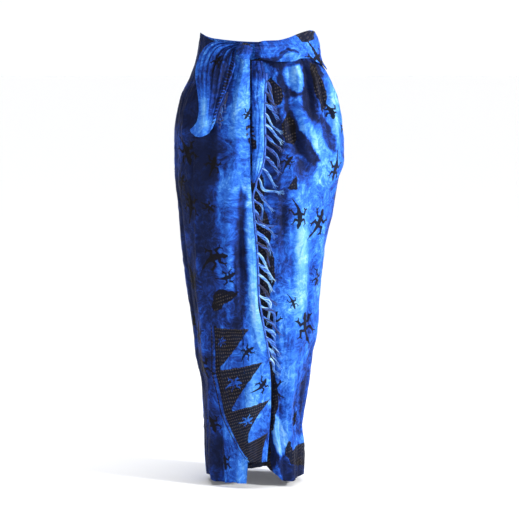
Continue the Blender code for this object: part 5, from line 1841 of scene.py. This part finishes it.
def tassel(strands, rng, looks, start, length, width, lean, tone):
    """Plies wound about the tassel's line, which part into thin ends."""
    across, drop, rise = start
    phase = rng.uniform(0, 2 * math.pi)
    t = np.linspace(TASSEL_START, 1.0, PLY_STEPS)
    wave = TASSEL_WAVE * np.sin(phase + 5 * t) * t
    curl = looks.uniform(-1, 1) * TASSEL_CURL * np.sin(looks.uniform(*TASSEL_CURL_RATES) * t) * t
    x = across + length * (lean * t * (1.1 - 0.25 * t)) + wave - curl
    down = drop + length * (math.sqrt(1 - lean**2) * t * (0.85 + 0.2 * t)) + wave + curl
    ground = top_rise(x, down) + TASSEL_LIFT
    least = np.where(t > TASSEL_ROOT_STEPS, ground, ground - TASSEL_ROOT_DIP)
    height = np.maximum(mix(rise, ground, ease(t / TASSEL_LIFTED_AT)), least)
    line = on_front(x, down, height)
    outs = ring(front_angle(x, down), down)[1]
    along = unit(np.gradient(line, axis=0))
    side = unit(np.cross(along, outs))
    own_half = looks.uniform(*PLY_WIDTHS) * width / 2
    body = own_half * (1.0 - TASSEL_TAPER * t) * (1 + TASSEL_SWELL * np.sin(phase + 9 * t))
    opening = eased(PLY_OPENING, t)
    loop = looks.uniform(*PLY_LOOPS) * np.sin(np.pi * np.clip(t / PLY_LOOPS_END, 0, 1)) ** 2
    turns = looks.uniform(*PLY_TURNS)
    for ply in range(PLIES):
        turn = 2 * math.pi * (ply / PLIES + turns * t) + phase
        reach = body * (PLY_REACH + LOOP_REACH * loop + OPENING_REACH * opening)
        aside = side * (np.cos(turn) * reach)[:, None]
        path = line + aside + outs * (np.sin(turn) * reach * PLY_FLATNESS)[:, None]
        half = body * PLY_HALF * (1 - 0.5 * opening)
        shade = tone + looks.uniform(-PLY_TONE, PLY_TONE)
        shade = shade + 0.2 * np.sin(looks.uniform(0, 6) + looks.uniform(3, 9) * t)
        strands.add(tube(path, outs, half, PLY_SIDES), shade, looks.random())
    loose_end = np.linspace(0.0, 1.0, END_STEPS)
    half = END_HALF * (1 - 0.55 * loose_end)
    root, onward, aside, out = (rows[END_STATION] for rows in (line, along, side, outs))
    for end in range(ENDS):
        spread = looks.uniform(-1, 1) * width * END_SPREAD
        reach = looks.uniform(*END_LENGTHS) * length
        path = root + onward * (loose_end * (reach + length * END_HIDDEN))[:, None]
        path = path + aside * (spread * loose_end**1.4)[:, None]
        path = path + out * (END_HALF * np.sin(3 * loose_end + end))[:, None]
        rings = tube(path, np.tile(out, (END_STEPS, 1)), half, 4)
        strands.add(rings, tone + looks.uniform(*END_TONES), looks.random())


def panel_edge(drop):
    """Place across and rise of the panel's free edge, straight between its rows as the solid's edge is."""
    rows = drop_at(np.full(BODY_ROWS + 1, 360.0), np.arange(BODY_ROWS + 1) / BODY_ROWS)
    across = column(FREE_EDGE, "across", rows)
    return float(np.interp(drop, rows, across)), float(np.interp(drop, rows, edge_rise(rows)))


def front_fringe():
    """The fringe of the free edge."""

    def root(share):
        drop = mix(FRONT_FRINGE_TOP, FRONT_FRINGE_BOTTOM, share)
        edge, rise = panel_edge(drop)
        tail = float(column(CENTRE_TAIL, "right", drop))
        past_tail = float(eased(STRIP_SHIFT, drop - CENTRE_TAIL[-1].drop))
        return mix(max(edge, tail), edge, past_tail) + STRIP_GAP, drop, rise - WALL

    sizes = (FRONT_TASSELS, FRONT_TASSEL_LENGTH, FRONT_TASSEL_WIDTH, FRONT_LEAN)
    return fringe("front_fringe_yarn", root, *sizes, FRONT_TONES)


def tail_fringe():
    """The fringe on the left tail's edge."""

    def root(share):
        down = np.array(mix(TAIL_FRINGE_FROM, TAIL_FRINGE_TO, share))
        across, drop, rise = tail_place(np.array(1.0), down)
        return float(across) + STRIP_GAP, float(drop), float(rise) - WALL

    sizes = (TAIL_TASSELS, TAIL_TASSEL_LENGTH * TAIL_TRIM, TAIL_TASSEL_WIDTH, TAIL_LEAN)
    return fringe("tail_fringe_yarn", root, *sizes, TAIL_TONES)


# The object

wrap_cloth = wrap()
band_cloth = waist_band()
knot_cloth = knot()
tail_cloth = left_tail()
centre_cloth = centre_tail()
front_yarn = front_fringe()
tail_yarn = tail_fringe()

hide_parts("under_layer_right_front", "back", "left_front_panel")
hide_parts("waist_band")
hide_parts("knot")
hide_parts("left_tail")
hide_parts("centre_tail")
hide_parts("front_fringe")
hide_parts("tail_fringe")
for piece in (wrap_cloth, band_cloth, knot_cloth, tail_cloth, centre_cloth):
    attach(piece, "root")
for piece in (front_yarn, tail_yarn):
    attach(piece, "root")

# Floor, light and camera

FLOOR_LEVEL = -1.006  # just under the lowest hem
FLOOR_HALF = 60.0
AIM = (0.0, 0.0, -0.495)
SKY = (0.95, 0.97, 1.0, 1.0)

corners = [(x * FLOOR_HALF, y * FLOOR_HALF, FLOOR_LEVEL) for x, y in ((-1, -1), (1, -1), (1, 1), (-1, 1))]
floor_mesh = bpy.data.meshes.new("floor")
floor_mesh.from_pydata(corners, [], [(0, 1, 2, 3)])
floor = linked("floor", floor_mesh)
floor_material, floor_graph = surface("floor")
floor_graph.fill(floor_graph.shader, {"Base Color": (0.97, 0.97, 0.97, 1.0), "Roughness": 0.9})
floor_mesh.materials.append(floor_material)


def turned_to(made, aim):
    """Turns a lamp or a camera towards a point."""
    made.rotation_euler = (Vector(aim) - made.location).to_track_quat("-Z", "Y").to_euler()


def lamp(name, place, aim, power, size):
    data = bpy.data.lights.new(name, "AREA")
    data.energy = power
    data.shape = "DISK"
    data.size = size
    made = linked(name, data)
    made.location = place
    turned_to(made, aim)


lamp("key", (2.46, -1.35, 0.75), (0.0, 0.0, -0.45), 100.0, 0.5)
lamp("front", (0.7, -3.0, 0.5), (0.0, 0.0, -0.5), 10.0, 1.4)
sun_data = bpy.data.lights.new("overhead", "SUN")
sun_data.energy = 2.7
sun_data.angle = math.radians(40)
linked("overhead", sun_data)

world = bpy.data.worlds.new("studio")
bpy.context.scene.world = world
studio = Graph(world, "Background")
# Brightest round the horizon, where it is the backdrop
steepness = studio.size(studio.parts(studio.node("ShaderNodeTexCoord"))[2])
strength = studio.smooth(steepness, 0.12, 0.40, start=1.06, end=0.14)
studio.fill(studio.shader, {"Color": SKY, "Strength": strength})
bpy.context.scene.view_settings.view_transform = "Standard"

camera_data = bpy.data.cameras.new("camera")
camera_data.lens = 152.5
camera_data.sensor_width = 36.0
camera = linked("camera", camera_data)
camera.location = (0.0, -CAMERA_DISTANCE, 0.0)
turned_to(camera, AIM)
bpy.context.scene.camera = camera
